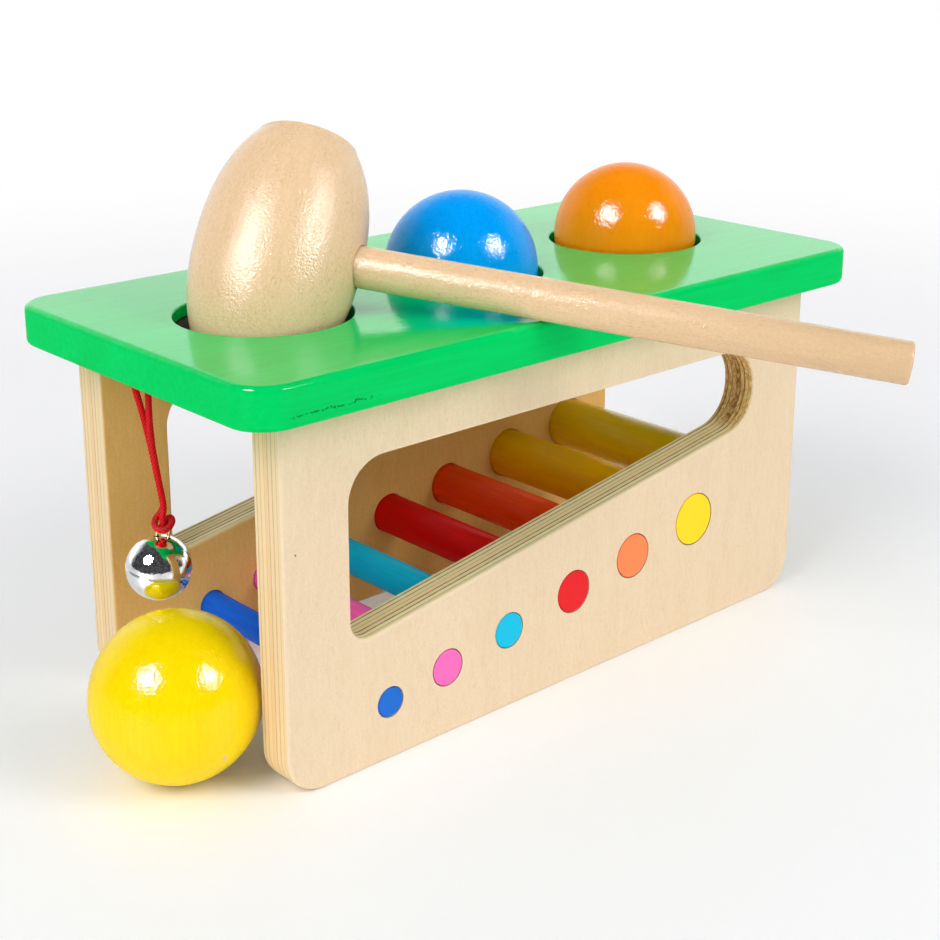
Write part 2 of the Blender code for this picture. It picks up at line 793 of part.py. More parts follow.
def loop_points():
    """The bell's wire loop: up from inside the shell, over, and back in, with splayed feet."""
    half = (BELL_LOOP_WIDTH - BELL_LOOP_WIRE) / 2
    inner = BELL_DIAMETER / 2 - BELL_WALL
    top = BELL_DIAMETER / 2 + BELL_LOOP_RISE - BELL_LOOP_WIRE / 2
    under = BELL_LOOP_WIRE + GAP + GAP
    foot_x = half + BELL_LOOP_FOOT
    leg_z = math.sqrt(inner**2 - half**2) - under
    foot_z = math.sqrt(inner**2 - foot_x**2) - under
    shoulder = top - half
    side = [(foot_x, foot_z), (half, leg_z), (half, leg_z + under), (half, shoulder)]
    crown = arc((0, shoulder), half, 0, math.pi, 6)[1:-1]
    mirrored = [(-x, z) for x, z in reversed(side)]
    return [(x, 0, z) for x, z in side + crown + mirrored]


def tube(name, points, diameter, resolution):
    """A round wire or cord along points, as a POLY curve with filled ends."""
    curve = bpy.data.curves.new(name, "CURVE")
    curve.dimensions = "3D"
    curve.bevel_depth = diameter / 2
    curve.bevel_resolution = resolution
    curve.use_fill_caps = True
    spline = curve.splines.new("POLY")
    spline.points.add(len(points) - 1)
    for point, place in zip(spline.points, points):
        point.co = (*place, 1)
    return curve


def make_bell(assembly):
    """Two half shells, a wire loop through the upper one, and a loose steel pellet inside."""
    swing = assembly.empty("bell_swing_pivot", cord_exit(), assembly.frame)
    middle = bell_centre() - cord_exit()
    across, front, _ = cord_axes()
    axis = bell_axis()
    side = front.cross(axis) * -1
    turn = Matrix((side, front * -1, axis)).transposed()
    shell = BELL_DIAMETER / 2
    for name, sign in (("bell_upper_shell", 1), ("bell_lower_shell", -1)):
        dome = assembly.part(
            name, turned_mesh(name, dome_profile(sign)), "chrome", middle, swing
        )
        dome.rotation_euler = turn.to_euler()
        turn_profile(dome, BELL_STEPS)
        tool = assembly.cutter(f"{name}_cutter", bell_cutter(name, sign, shell), middle, swing)
        tool.rotation_euler = turn.to_euler()
        cut(dome, tool)
    loop = assembly.part(
        "bell_loop", tube("bell_loop", loop_points(), BELL_LOOP_WIRE, 2), "brass_wire", middle, swing
    )
    loop.rotation_euler = turn.to_euler()
    fall = shell - BELL_WALL - PELLET_DIAMETER / 2 - GAP
    pellet = mesh_from(
        "bell_pellet",
        lambda shape: bmesh.ops.create_uvsphere(
            shape,
            u_segments=DOWEL_STEPS,
            v_segments=DOWEL_STEPS // 2,
            radius=PELLET_DIAMETER / 2,
        ),
    )
    assembly.part("bell_pellet", pellet, "steel", middle - Vector((0, 0, fall)), swing)


def bell_cutter(name, sign, shell):
    """Two wire holes in the upper shell, or the sound slot with its round ends in the lower."""
    half = (BELL_LOOP_WIDTH - BELL_LOOP_WIRE) / 2
    spread = shell * math.sin(BELL_SLOT_SPREAD)
    near, far = shell / 2, shell + OVERRUN

    def wire_holes(shape):
        radius = BELL_LOOP_WIRE / 2 + GAP
        for x in (-half, half):
            add_rod(shape, radius, (x, 0, near), (x, 0, far), DOWEL_STEPS)

    def slot(shape):
        for x in (-spread, spread):
            add_rod(shape, BELL_SLOT_HOLE / 2, (x, 0, -far), (x, 0, -near), DOWEL_STEPS)

    if sign > 0:
        return mesh_from(f"{name}_cutter", wire_holes)
    ends = mesh_from(f"{name}_ends", slot)
    strip = bmesh.new()
    bmesh.ops.create_cube(strip, size=1)
    bmesh.ops.scale(strip, vec=(2 * spread, BELL_SLOT_WIDTH, far - near), verts=strip.verts)
    bmesh.ops.translate(strip, vec=(0, 0, -(far + near) / 2), verts=strip.verts)
    mesh = bpy.data.meshes.new(f"{name}_cutter")
    strip.to_mesh(mesh)
    strip.free()
    return joined_cutter(name, mesh, ends)


def joined_cutter(name, first, second):
    """One closed mesh from two that overlap, by a Boolean union."""
    base = bpy.data.objects.new(f"{name}_base", first)
    other = bpy.data.objects.new(f"{name}_other", second)
    for helper in (base, other):
        bpy.context.scene.collection.objects.link(helper)
    union = base.modifiers.new("union", "BOOLEAN")
    union.operation = "UNION"
    union.solver = "EXACT"
    union.object = other
    graph = bpy.context.evaluated_depsgraph_get()
    mesh = bpy.data.meshes.new_from_object(base.evaluated_get(graph))
    for helper in (base, other):
        bpy.data.objects.remove(helper, do_unlink=True)
    return mesh


def smooth_route(points, per_span):
    """Points on a smooth curve through the given ones, per_span to each stretch."""
    ends = [2 * points[0] - points[1], *points, 2 * points[-1] - points[-2]]
    route = []
    for i in range(1, len(ends) - 2):
        before, start, end, after = ends[i - 1 : i + 3]
        for k in range(per_span):
            t = k / per_span
            route.append(
                0.5
                * (
                    2 * start
                    + (end - before) * t
                    + (2 * before - 5 * start + 4 * end - after) * t**2
                    + (3 * start - before - 3 * end + after) * t**3
                )
            )
    return [*route, points[-1]]


def cord_route():
    """The cord's centre line from one end in the plug to the other, from its pivot."""
    across, front, up = cord_axes()
    wire_top = bell_centre() - cord_exit()
    wire_top += bell_axis() * (BELL_DIAMETER / 2 + BELL_LOOP_RISE - BELL_LOOP_WIRE / 2)

    def near(anchor, table):
        return [anchor + across * a + front * f + up * u for a, f, u in table]

    def hanging(table):
        return [wire_top * share + across * a + front * f for a, f, share in table]

    points = [
        *near(Vector(), CORD_START),
        *hanging(CORD_FALL_SHARES),
        *near(wire_top, CORD_KNOT),
        *hanging(CORD_RISE_SHARES),
        *near(Vector(), CORD_END),
    ]
    return smooth_route(points, CORD_POINTS_PER_SPAN)


def make_cord(assembly):
    swing = bpy.data.objects["bell_swing_pivot"]
    curve = tube("bell_cord", cord_route(), CORD_DIAMETER, 2)
    assembly.part("bell_cord", curve, "red_cord", parent=swing)
    plug_mesh = rod_mesh(
        "cord_plug",
        PLUG_DIAMETER / 2,
        (0, 0, 0),
        (0, 0, PLUG_LENGTH),
        ROD_STEPS,
    )
    plug = assembly.part("cord_plug", plug_mesh, "beech", cord_exit())

    def grooves(shape):
        across, _, _ = cord_axes()
        for side in (-1, 1):
            low = across * side * CORD_SPREAD / 2 - Vector((0, 0, OVERRUN))
            high = across * side * CORD_SPREAD / 2 + Vector((0, 0, PLUG_LENGTH + OVERRUN))
            add_rod(shape, CORD_DIAMETER / 2 + GAP, low, high, DOWEL_STEPS)

    cut(plug, assembly.cutter("cord_grooves", mesh_from("cord_grooves", grooves), cord_exit()))


def main():
    clear_scene()
    assembly = Assembly()
    make_board(assembly)
    make_rings(assembly)
    make_panels(assembly)
    make_rods(assembly)
    make_dowels(assembly)
    make_balls(assembly)
    make_mallet(assembly)
    make_bell(assembly)
    make_cord(assembly)


main()
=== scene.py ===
"""The ball pounding bench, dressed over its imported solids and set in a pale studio.

Metres, +Z up, +X along the board away from the bell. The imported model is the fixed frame:
each finer piece stands where its solid stands, and every surface gets a worked finish.
"""

import logging
import math
from collections.abc import Sequence
from dataclasses import dataclass, field
from enum import Enum

import bmesh
import bpy
from mathutils import Matrix, Vector


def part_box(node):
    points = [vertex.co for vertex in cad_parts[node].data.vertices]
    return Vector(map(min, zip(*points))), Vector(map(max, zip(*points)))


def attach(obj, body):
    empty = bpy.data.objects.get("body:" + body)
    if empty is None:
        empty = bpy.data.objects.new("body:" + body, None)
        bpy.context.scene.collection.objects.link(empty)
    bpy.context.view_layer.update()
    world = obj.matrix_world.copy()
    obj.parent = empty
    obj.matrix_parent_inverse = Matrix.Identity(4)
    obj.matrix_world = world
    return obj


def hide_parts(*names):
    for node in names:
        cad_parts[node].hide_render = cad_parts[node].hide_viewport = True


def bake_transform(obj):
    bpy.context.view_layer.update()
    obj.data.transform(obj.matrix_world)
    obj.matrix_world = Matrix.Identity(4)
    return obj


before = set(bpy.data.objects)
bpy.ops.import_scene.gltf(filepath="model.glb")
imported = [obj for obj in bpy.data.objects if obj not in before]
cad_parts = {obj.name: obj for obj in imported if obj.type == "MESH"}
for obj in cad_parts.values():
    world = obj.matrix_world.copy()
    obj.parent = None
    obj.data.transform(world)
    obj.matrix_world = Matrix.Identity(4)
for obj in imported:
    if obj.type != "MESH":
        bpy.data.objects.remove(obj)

logging.basicConfig(level=logging.INFO, format="%(message)s")
log = logging.getLogger("pounding_bench")

# The room round a piece in its bore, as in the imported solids.
GAP = 0.0003
# The width of the narrow faces beside a rounding, which keep its shading crisp.
SUPPORT = 0.00012
# The distance under which two corners are one.
MERGE = 0.000002
WHITE = (1.0, 1.0, 1.0, 1.0)
Colour = tuple[float, float, float, float]
Socket = bpy.types.NodeSocket


def srgb(red: int, green: int, blue: int) -> Colour:
    """A colour written as 0 to 255 on a screen, as the linear colour that shaders take.

    Args:
        red: Its red part.
        green: Its green part.
        blue: Its blue part.

    Returns:
        The linear red, green, blue and an alpha of one.
    """

    def linear(part: int) -> float:
        """One part in linear light."""
        share = part / 255
        return share / 12.92 if share <= 0.04045 else ((share + 0.055) / 1.055) ** 2.4

    return (linear(red), linear(green), linear(blue), 1.0)


def box_middle(node: str) -> Vector:
    """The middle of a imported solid's box."""
    low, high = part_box(node)
    return (low + high) / 2


def bench_middle() -> Vector:
    """The point on the floor under the middle of the board."""
    middle = box_middle("top_board")
    return Vector((middle.x, middle.y, 0))


class Body(Enum):
    """The moving and still bodies of the bench."""

    BENCH = "bench"
    BLUE = "ball_blue"
    ORANGE = "ball_orange"
    YELLOW = "ball_yellow"
    MALLET = "mallet"
    BELL = "bell"
    PELLET = "pellet"


class Grain(Enum):
    """The way a wood's grain runs, and the turn that brings up to it."""

    ALONG_X = ((1.0, 0.0, 0.0), (0.0, math.pi / 2, 0.0))
    ALONG_Y = ((0.0, 1.0, 0.0), (-math.pi / 2, 0.0, 0.0))
    ALONG_Z = ((0.0, 0.0, 1.0), (0.0, 0.0, 0.0))

    def __init__(self, axis: tuple, turn: tuple) -> None:
        """Keeps both under their names."""
        self.axis = axis
        self.turn = turn


class Wiring:
    """Adds and joins the nodes of one node tree."""

    def __init__(self, tree: bpy.types.NodeTree) -> None:
        """Keeps the tree."""
        self.tree = tree

    def add(self, kind: str, feeds: dict | None = None, **settings: object) -> bpy.types.Node:
        """Adds a node.

        Args:
            kind: The node's type name.
            feeds: What goes into its inputs, by name or number: a socket or a value.
            **settings: Its other properties.

        Returns:
            The node.
        """
        node = self.tree.nodes.new(kind)
        for name, value in settings.items():
            setattr(node, name, value)
        for key, value in (feeds or {}).items():
            self.feed(node.inputs[key], value)
        return node

    def feed(self, socket: Socket, value: object) -> None:
        """Joins a socket to an input, or sets the input to a value.

        Args:
            socket: The input.
            value: What goes into it, a socket or a value.
        """
        if isinstance(value, bpy.types.NodeSocket):
            self.tree.links.new(value, socket)
        else:
            socket.default_value = value

    def sum(self, operation: str, *values: object, clamp: bool = False) -> Socket:
        """Adds a Math node.

        Args:
            operation: What it does.
            *values: What it works on, sockets or numbers.
            clamp: Whether the result is kept from 0 to 1.

        Returns:
            The result.
        """
        node = self.add("ShaderNodeMath", dict(enumerate(values)), operation=operation)
        node.use_clamp = clamp
        return node.outputs[0]

    def chain(self, operation: str, values: Sequence[object], clamp: bool) -> Socket:
        """Takes the values two at a time through Math nodes of one operation.

        Args:
            operation: What each node does.
            values: The values, two or more.
            clamp: Whether each result is kept from 0 to 1.

        Returns:
            The last result.
        """
        total = values[0]
        for value in values[1:]:
            total = self.sum(operation, total, value, clamp=clamp)
        return total

    def times(self, *values: object, clamp: bool = False) -> Socket:
        """The product of the values."""
        return self.chain("MULTIPLY", values, clamp)

    def plus(self, *values: object, clamp: bool = False) -> Socket:
        """The sum of the values."""
        return self.chain("ADD", values, clamp)

    def minus(self, first: object, second: object) -> Socket:
        """The first value less the second."""
        return self.sum("SUBTRACT", first, second)

    def rest(self, share: Socket) -> Socket:
        """What a share leaves of one."""
        return self.sum("SUBTRACT", 1.0, share)

    def vector(self, operation: str, *values: object) -> Socket:
        """The result of a Vector Math node's operation on the values."""
        node = self.add("ShaderNodeVectorMath", dict(enumerate(values)), operation=operation)
        return node.outputs["Value" if operation in ("LENGTH", "DOT_PRODUCT") else "Vector"]

    def parts(self, vector: Socket) -> tuple[Socket, ...]:
        """A vector's X, Y and Z."""
        return tuple(self.add("ShaderNodeSeparateXYZ", {0: vector}).outputs)

    def step(self, value: Socket, low: float, high: float) -> Socket:
        """A smooth rise from 0 to 1.

        Args:
            value: What rises.
            low: Where it is still 0.
            high: Where it reaches 1.

        Returns:
            The rise.
        """
        feeds = {"Value": value, "From Min": low, "From Max": high}
        node = self.add("ShaderNodeMapRange", feeds, interpolation_type="SMOOTHSTEP")
        return node.outputs["Result"]

    def between(self, value: Socket, low: float, high: float) -> Socket:
        """A value from 0 to 1 stretched to run from low to high."""
        feeds = {"Value": value, "To Min": low, "To Max": high}
        return self.add("ShaderNodeMapRange", feeds).outputs["Result"]

    def mix(self, share: object, first: object, second: object, blend: str = "MIX") -> Socket:
        """Mixes two colours.

        Args:
            share: The share of the second.
            first: A colour.
            second: Another colour.
            blend: How the second is laid on the first.

        Returns:
            The mixed colour.
        """
        node = self.add("ShaderNodeMix", data_type="RGBA", blend_type=blend)
        self.feed(node.inputs[0], share)
        self.feed(node.inputs[6], first)
        self.feed(node.inputs[7], second)
        return node.outputs[2]

    def noise(
        self, place: Socket, scale: float, detail: float = 2.0, rough: float = 0.5
    ) -> Socket:
        """Adds soft noise about one half.

        Args:
            place: Where it is read.
            scale: Its features per metre.
            detail: How many finer layers it has.
            rough: How strong the finer layers are.

        Returns:
            The noise, mostly from 0.3 to 0.7.
        """
        feeds = {"Vector": place, "Scale": scale, "Detail": detail, "Roughness": rough}
        return self.add("ShaderNodeTexNoise", feeds).outputs[0]

    def waver(self, place: Socket, scale: float, reach: float, detail: float = 2.0) -> Socket:
        """Adds soft noise about zero.

        Args:
            place: Where it is read.
            scale: Its features per metre.
            reach: How far it may go, both ways together.
            detail: How many finer layers it has.

        Returns:
            The noise.
        """
        return self.times(self.minus(self.noise(place, scale, detail), 0.5), reach)

    def draw(self, number: Socket) -> Socket:
        """A value from 0 to 1 that each whole number has as its own."""
        node = self.add("ShaderNodeTexWhiteNoise", {"W": number}, noise_dimensions="1D")
        return node.outputs["Value"]

    def drawn_out(self, place: Socket, scale: Socket, stretch: Socket) -> Socket:
        """Scales a place for a pattern that is drawn out along Z.

        Args:
            place: The place, in metres.
            scale: The pattern's features per metre across Z.
            stretch: How many times longer they are along Z.

        Returns:
            The place that the pattern is read at.
        """
        along = self.sum("DIVIDE", scale, stretch)
        spread = self.add("ShaderNodeCombineXYZ", {0: scale, 1: scale, 2: along}).outputs[0]
        return self.vector("MULTIPLY", place, spread)

    def group(self, tree: bpy.types.NodeTree, **feeds: object) -> bpy.types.Node:
        """Places a node group.

        Args:
            tree: The group.
            **feeds: What goes into its inputs, by their names in small letters.

        Returns:
            The node.
        """
        node = self.add("ShaderNodeGroup", node_tree=tree)
        for name, value in feeds.items():
            self.feed(node.inputs[name.replace("_", " ").capitalize()], value)
        return node

    def place(
        self, turn: Sequence[float] = (0, 0, 0), middle: Sequence[float] = (0, 0, 0)
    ) -> Socket:
        """Object coordinates for a pattern.

        Args:
            turn: The turn that brings up to the grain's way.
            middle: The point that they are centred on.

        Returns:
            The coordinates.
        """
        source = self.add("ShaderNodeTexCoord").outputs["Object"]
        feeds = {"Vector": source, "Location": tuple(middle), "Rotation": tuple(turn)}
        return self.add("ShaderNodeMapping", feeds, vector_type="TEXTURE").outputs["Vector"]

    def facing(self) -> Socket:
        """The way the surface looks."""
        return self.add("ShaderNodeTexCoord").outputs["Normal"]


def effect(name: str, inputs: dict[str, object], outputs: Sequence[str]) -> tuple:
    """Starts a shader node group.

    Args:
        name: The group's name.
        inputs: Its inputs with their defaults; a default of three numbers makes a vector.
        outputs: The names of the values that it puts out.

    Returns:
        (wiring, the inputs' sockets by name, the outputs' sockets by name).
    """
    tree = bpy.data.node_groups.new(name, "ShaderNodeTree")
    for title, default in inputs.items():
        kind = "NodeSocketFloat" if isinstance(default, float) else "NodeSocketVector"
        made = tree.interface.new_socket(title, in_out="INPUT", socket_type=kind)
        made.default_value = default
    for title in outputs:
        tree.interface.new_socket(title, in_out="OUTPUT", socket_type="NodeSocketFloat")
    wires = Wiring(tree)
    source = wires.add("NodeGroupInput")
    sink = wires.add("NodeGroupOutput")
    return (
        wires,
        {title: source.outputs[title] for title in inputs},
        {title: sink.inputs[title] for title in outputs},
    )


class Effects:
    """The shader groups that several finishes share, each built once."""

    def __init__(self) -> None:
        """Builds the groups."""
        self.grain = self.straight_grain()
        self.flecks = self.ray_flecks()
        self.plies = self.ply_edges()
        self.marks = self.handling_marks()
        self.braid = self.braided_yarns()

    def straight_grain(self) -> bpy.types.NodeTree:
        """Fine straight grain along Z.

        Returns:
            The group, which puts out a Tone about one half and a Height.
        """
        wires, given, out = effect(
            "straight grain",
            {"Place": (0.0, 0.0, 0.0), "Scale": 900.0, "Stretch": 18.0},
            ("Tone", "Height"),
        )
        place = wires.drawn_out(given["Place"], given["Scale"], given["Stretch"])
        fine = wires.noise(place, 1.0, detail=4.0, rough=0.62)
        broad = wires.noise(place, 0.11, detail=3.0, rough=0.55)
        mixed = wires.plus(wires.times(fine, 0.6), wires.times(broad, 0.4))
        wires.feed(out["Tone"], wires.step(mixed, 0.3, 0.7))
        wires.feed(out["Height"], fine)
        return wires.tree

    def ray_flecks(self) -> bpy.types.NodeTree:
        """The short dark dashes of beech along Z, in patches, and its pores.

        Returns:
            The group, which puts out a Mask for the dashes and a Height for both.
        """
        wires, given, out = effect(
            "ray flecks",
            {"Place": (0.0, 0.0, 0.0), "Scale": 1500.0, "Stretch": 7.0},
            ("Mask", "Height"),
        )
        place = wires.drawn_out(given["Place"], given["Scale"], given["Stretch"])
        dashes = wires.step(wires.noise(place, 1.0, detail=1.0, rough=0.4), 0.56, 0.68)
        patches = wires.step(wires.noise(place, 0.09), 0.34, 0.62)
        wires.feed(out["Mask"], wires.times(dashes, patches))
        pores = wires.noise(given["Place"], given["Scale"], rough=0.7)
        wires.feed(out["Height"], wires.minus(pores, wires.times(dashes, 0.35)))
        return wires.tree

    def ply_edges(self) -> bpy.types.NodeTree:
        """Plywood's layers by depth, every second one with its grain crosswise.

        Returns:
            The group, which puts out End where a layer shows its end grain, Glue for the
            dark joints, Lip for a paler band beside them, a Tone for each layer, and a Height.
        """
        wires, given, out = effect(
            "plywood layers",
            {"Depth": 0.0, "Plies": 7.0, "Place": (0.0, 0.0, 0.0), "Facing": (0.0, 0.0, 0.0)},
            ("End", "Glue", "Lip", "Tone", "Height"),
        )
        wander = wires.waver(given["Place"], 34.0, 0.22)
        depth = wires.plus(wires.times(given["Depth"], given["Plies"]), wander)
        layer = wires.sum("FLOOR", depth)
        within = wires.sum("FRACT", depth)
        crosswise = wires.sum("MODULO", layer, 2.0)
        level, flat, upright = wires.parts(
            wires.vector("MULTIPLY", given["Facing"], given["Facing"])
        )
        standing = wires.times(wires.rest(crosswise), upright)
        lying = wires.times(crosswise, level)
        end = wires.plus(standing, lying, clamp=True)
        wires.feed(out["End"], end)
        edge = wires.rest(flat)
        nearest = wires.sum("MINIMUM", within, wires.rest(within))
        line = wires.rest(wires.step(nearest, 0.08, 0.22))
        strong = wires.between(wires.draw(wires.sum("ROUND", depth)), 0.35, 1.1)
        torn = wires.step(wires.noise(given["Place"], 420.0, detail=3.0), 0.32, 0.6)
        ragged = wires.between(torn, 0.7, 1.0)
        wires.feed(out["Glue"], wires.times(line, edge, strong, ragged))
        beside = wires.times(
            wires.step(nearest, 0.16, 0.26), wires.rest(wires.step(nearest, 0.28, 0.4))
        )
        wires.feed(out["Lip"], wires.times(beside, edge))
        wires.feed(out["Tone"], wires.draw(wires.plus(layer, 0.5)))
        fibres = wires.noise(given["Place"], 1500.0, detail=3.0, rough=0.75)
        shown = wires.times(edge, wires.plus(0.6, wires.times(end, 0.4)))
        wires.feed(out["Height"], wires.times(fibres, shown))
        return wires.tree

    def handling_marks(self) -> bpy.types.NodeTree:
        """Faint smears that break up a shine.

        Returns:
            The group, which puts out a Smear.
        """
        wires, given, out = effect(
            "handling marks", {"Place": (0.0, 0.0, 0.0), "Scale": 60.0}, ("Smear",)
        )
        smears = wires.noise(given["Place"], given["Scale"], detail=3.0, rough=0.6)
        wires.feed(out["Smear"], wires.step(smears, 0.35, 0.7))
        return wires.tree

    def braided_yarns(self) -> bpy.types.NodeTree:
        """Crossing yarns over a tube's own map, which runs along in X and round in Y.

        Returns:
            The group, which puts out a Height and the Gap between the yarns.
        """
        wires, given, out = effect(
            "braided yarns",
            {"Place": (0.0, 0.0, 0.0), "Round": 4.0, "Along": 60.0},
            ("Height", "Gap"),
        )
        along, around, _ = wires.parts(given["Place"])
        turn = wires.times(around, given["Round"], math.tau)
        run = wires.times(along, given["Along"], math.tau)
        right = wires.sum("COSINE", wires.plus(turn, run))
        left = wires.sum("COSINE", wires.minus(turn, run))
        height = wires.sum("POWER", wires.sum("ABSOLUTE", wires.times(right, left)), 0.5)
        wires.feed(out["Height"], height)
        wires.feed(out["Gap"], wires.rest(wires.step(height, 0.15, 0.8)))
        return wires.tree


def blank_material(name: str) -> tuple[bpy.types.Material, Wiring, bpy.types.Node]:
    """A new material with only its shader.

    Args:
        name: The material's name.

    Returns:
        (the material, its wiring, its Principled BSDF).
    """
    material = bpy.data.materials.new(name)
    material.use_nodes = True
    wires = Wiring(material.node_tree)
    return material, wires, material.node_tree.nodes["Principled BSDF"]


def bump(wires: Wiring, height: Socket, strength: float, distance: float) -> Socket:
    """A normal from a height."""
    feeds = {"Height": height, "Strength": strength, "Distance": distance}
    return wires.add("ShaderNodeBump", feeds).outputs["Normal"]


@dataclass(frozen=True)
class PaintedWood:
    """Opaque paint over straight-grained wood, its gloss broken by brush marks and peel."""

    light: Colour
    deep: Colour
    end: Colour | None = None
    chip: Colour = srgb(70, 60, 40)
    roughness: float = 0.6
    gloss: float = 1.0
    side_gloss: float = 1.0
    gloss_index: float = 1.36
    gloss_roughness: float = 0.04
    peel: float = 0.00013
    peel_scale: float = 1250.0
    grain: Grain = Grain.ALONG_X
    grain_scale: float = 700.0
    grain_depth: float = 0.25
    relief: float = 0.0001
    end_pores: float = 2600.0

    def knocks(self, wires: Wiring, place: Socket) -> Socket | None:
        """Where the paint is knocked off, as a mask; most pieces have no such place."""
        return None

    def cut_end(self, wires: Wiring, place: Socket, facing: Socket) -> Socket:
        """Where the paint lies on end grain, whose pores take it up.

        Args:
            wires: The material's wiring.
            place: Where the pattern is read.
            facing: The way the surface looks.

        Returns:
            The mask.
        """
        across = wires.sum("ABSOLUTE", wires.vector("DOT_PRODUCT", facing, self.grain.axis))
        pores = wires.between(wires.noise(place, self.end_pores), 0.7, 1.3)
        return wires.times(wires.step(across, 0.8, 0.97), pores, clamp=True)

    def material(
        self, name: str, effects: Effects, middle: Vector = Vector()
    ) -> bpy.types.Material:
        """Makes the material.

        Args:
            name: Its name.
            effects: The shared shader groups.
            middle: The point that its pattern is centred on.

        Returns:
            The material.
        """
        material, wires, shader = blank_material(name)
        place = wires.place(self.grain.turn, middle)
        facing = wires.facing()
        grain = wires.group(effects.grain, place=place, scale=self.grain_scale)
        colour = wires.mix(grain.outputs["Tone"], self.deep, self.light)
        if self.end:
            colour = wires.mix(self.cut_end(wires, place, facing), colour, self.end)
        height = grain.outputs["Height"]
        knocks = self.knocks(wires, wires.place(middle=middle))
        if knocks is not None:
            colour = wires.mix(knocks, colour, self.chip)
            height = wires.minus(height, knocks)
        wires.feed(shader.inputs["Base Color"], colour)
        peel = wires.noise(place, self.peel_scale, detail=1.0)
        brushed = wires.times(height, self.grain_depth)
        peeled = wires.times(peel, self.peel / self.relief)
        height = wires.plus(brushed, peeled)
        wires.feed(shader.inputs["Normal"], bump(wires, height, 1.0, self.relief))
        wires.feed(shader.inputs["Coat Normal"], bump(wires, peel, 1.0, self.peel))
        if self.side_gloss < 1.0:
            upward = wires.step(wires.parts(facing)[2], 0.35, 0.9)
            gloss = wires.between(upward, self.gloss * self.side_gloss, self.gloss)
            wires.feed(shader.inputs["Coat Weight"], gloss)
        else:
            shader.inputs["Coat Weight"].default_value = self.gloss
        shader.inputs["Roughness"].default_value = self.roughness
        shader.inputs["Specular IOR Level"].default_value = 0.0
        shader.inputs["Coat Roughness"].default_value = self.gloss_roughness
        shader.inputs["Coat IOR"].default_value = self.gloss_index
        return material


@dataclass(frozen=True)
class BoardPaint(PaintedWood):
    """The board's paint, with one broken scratch along its front side."""

    half_width: float = 0.0597
    scratch_depth: float = 0.0025
    scratch_from: tuple = (-0.1115, -0.1060)
    scratch_to: tuple = (-0.0880, -0.0800)
    scratch_line: tuple = (0.00012, 0.00042)
    scratch_side: tuple = (0.0006, 0.0002)
    scratch_wander: float = 0.0024
    wander_scale: float = 620.0
    break_scale: float = 1500.0
    breaks: tuple = (0.40, 0.52)

    def knocks(self, wires: Wiring, place: Socket) -> Socket:
        """The scratch's dashes.

        Args:
            wires: The material's wiring.
            place: The place from the board's middle.

        Returns:
            The mask.
        """
        x, y, z = wires.parts(place)
        broken = wires.step(wires.noise(place, self.break_scale), *self.breaks)
        wander = wires.waver(place, self.wander_scale, self.scratch_wander, detail=3.0)
        level = wires.sum("ABSOLUTE", wires.plus(z, self.scratch_depth, wander))
        line = wires.rest(wires.step(level, *self.scratch_line))
        first = wires.step(x, *self.scratch_from)
        last = wires.rest(wires.step(x, *self.scratch_to))
        front = wires.step(y, *(depth - self.half_width for depth in self.scratch_side))
        return wires.times(line, broken, first, last, front)


@dataclass(frozen=True)
class BallPaint(PaintedWood):
    """A ball's paint, with one small chip down to the wood."""

    chip_place: tuple = (0.0, 0.0, 0.0)
    chip_shape: tuple = (1.4, 1.0, 0.7)
    chip_size: float = 0.0009
    chip_edge: float = 0.7
    torn_scale: float = 1500.0
    torn_reach: float = 0.0012

    def knocks(self, wires: Wiring, place: Socket) -> Socket:
        """The chip, with a torn edge.

        Args:
            wires: The material's wiring.
            place: The place from the ball's middle.

        Returns:
            The mask.
        """
        apart = wires.vector("SUBTRACT", place, self.chip_place)
        apart = wires.vector("LENGTH", wires.vector("MULTIPLY", apart, self.chip_shape))
        apart = wires.plus(apart, wires.waver(place, self.torn_scale, self.torn_reach))
        return wires.rest(wires.step(apart, self.chip_size * self.chip_edge, self.chip_size))


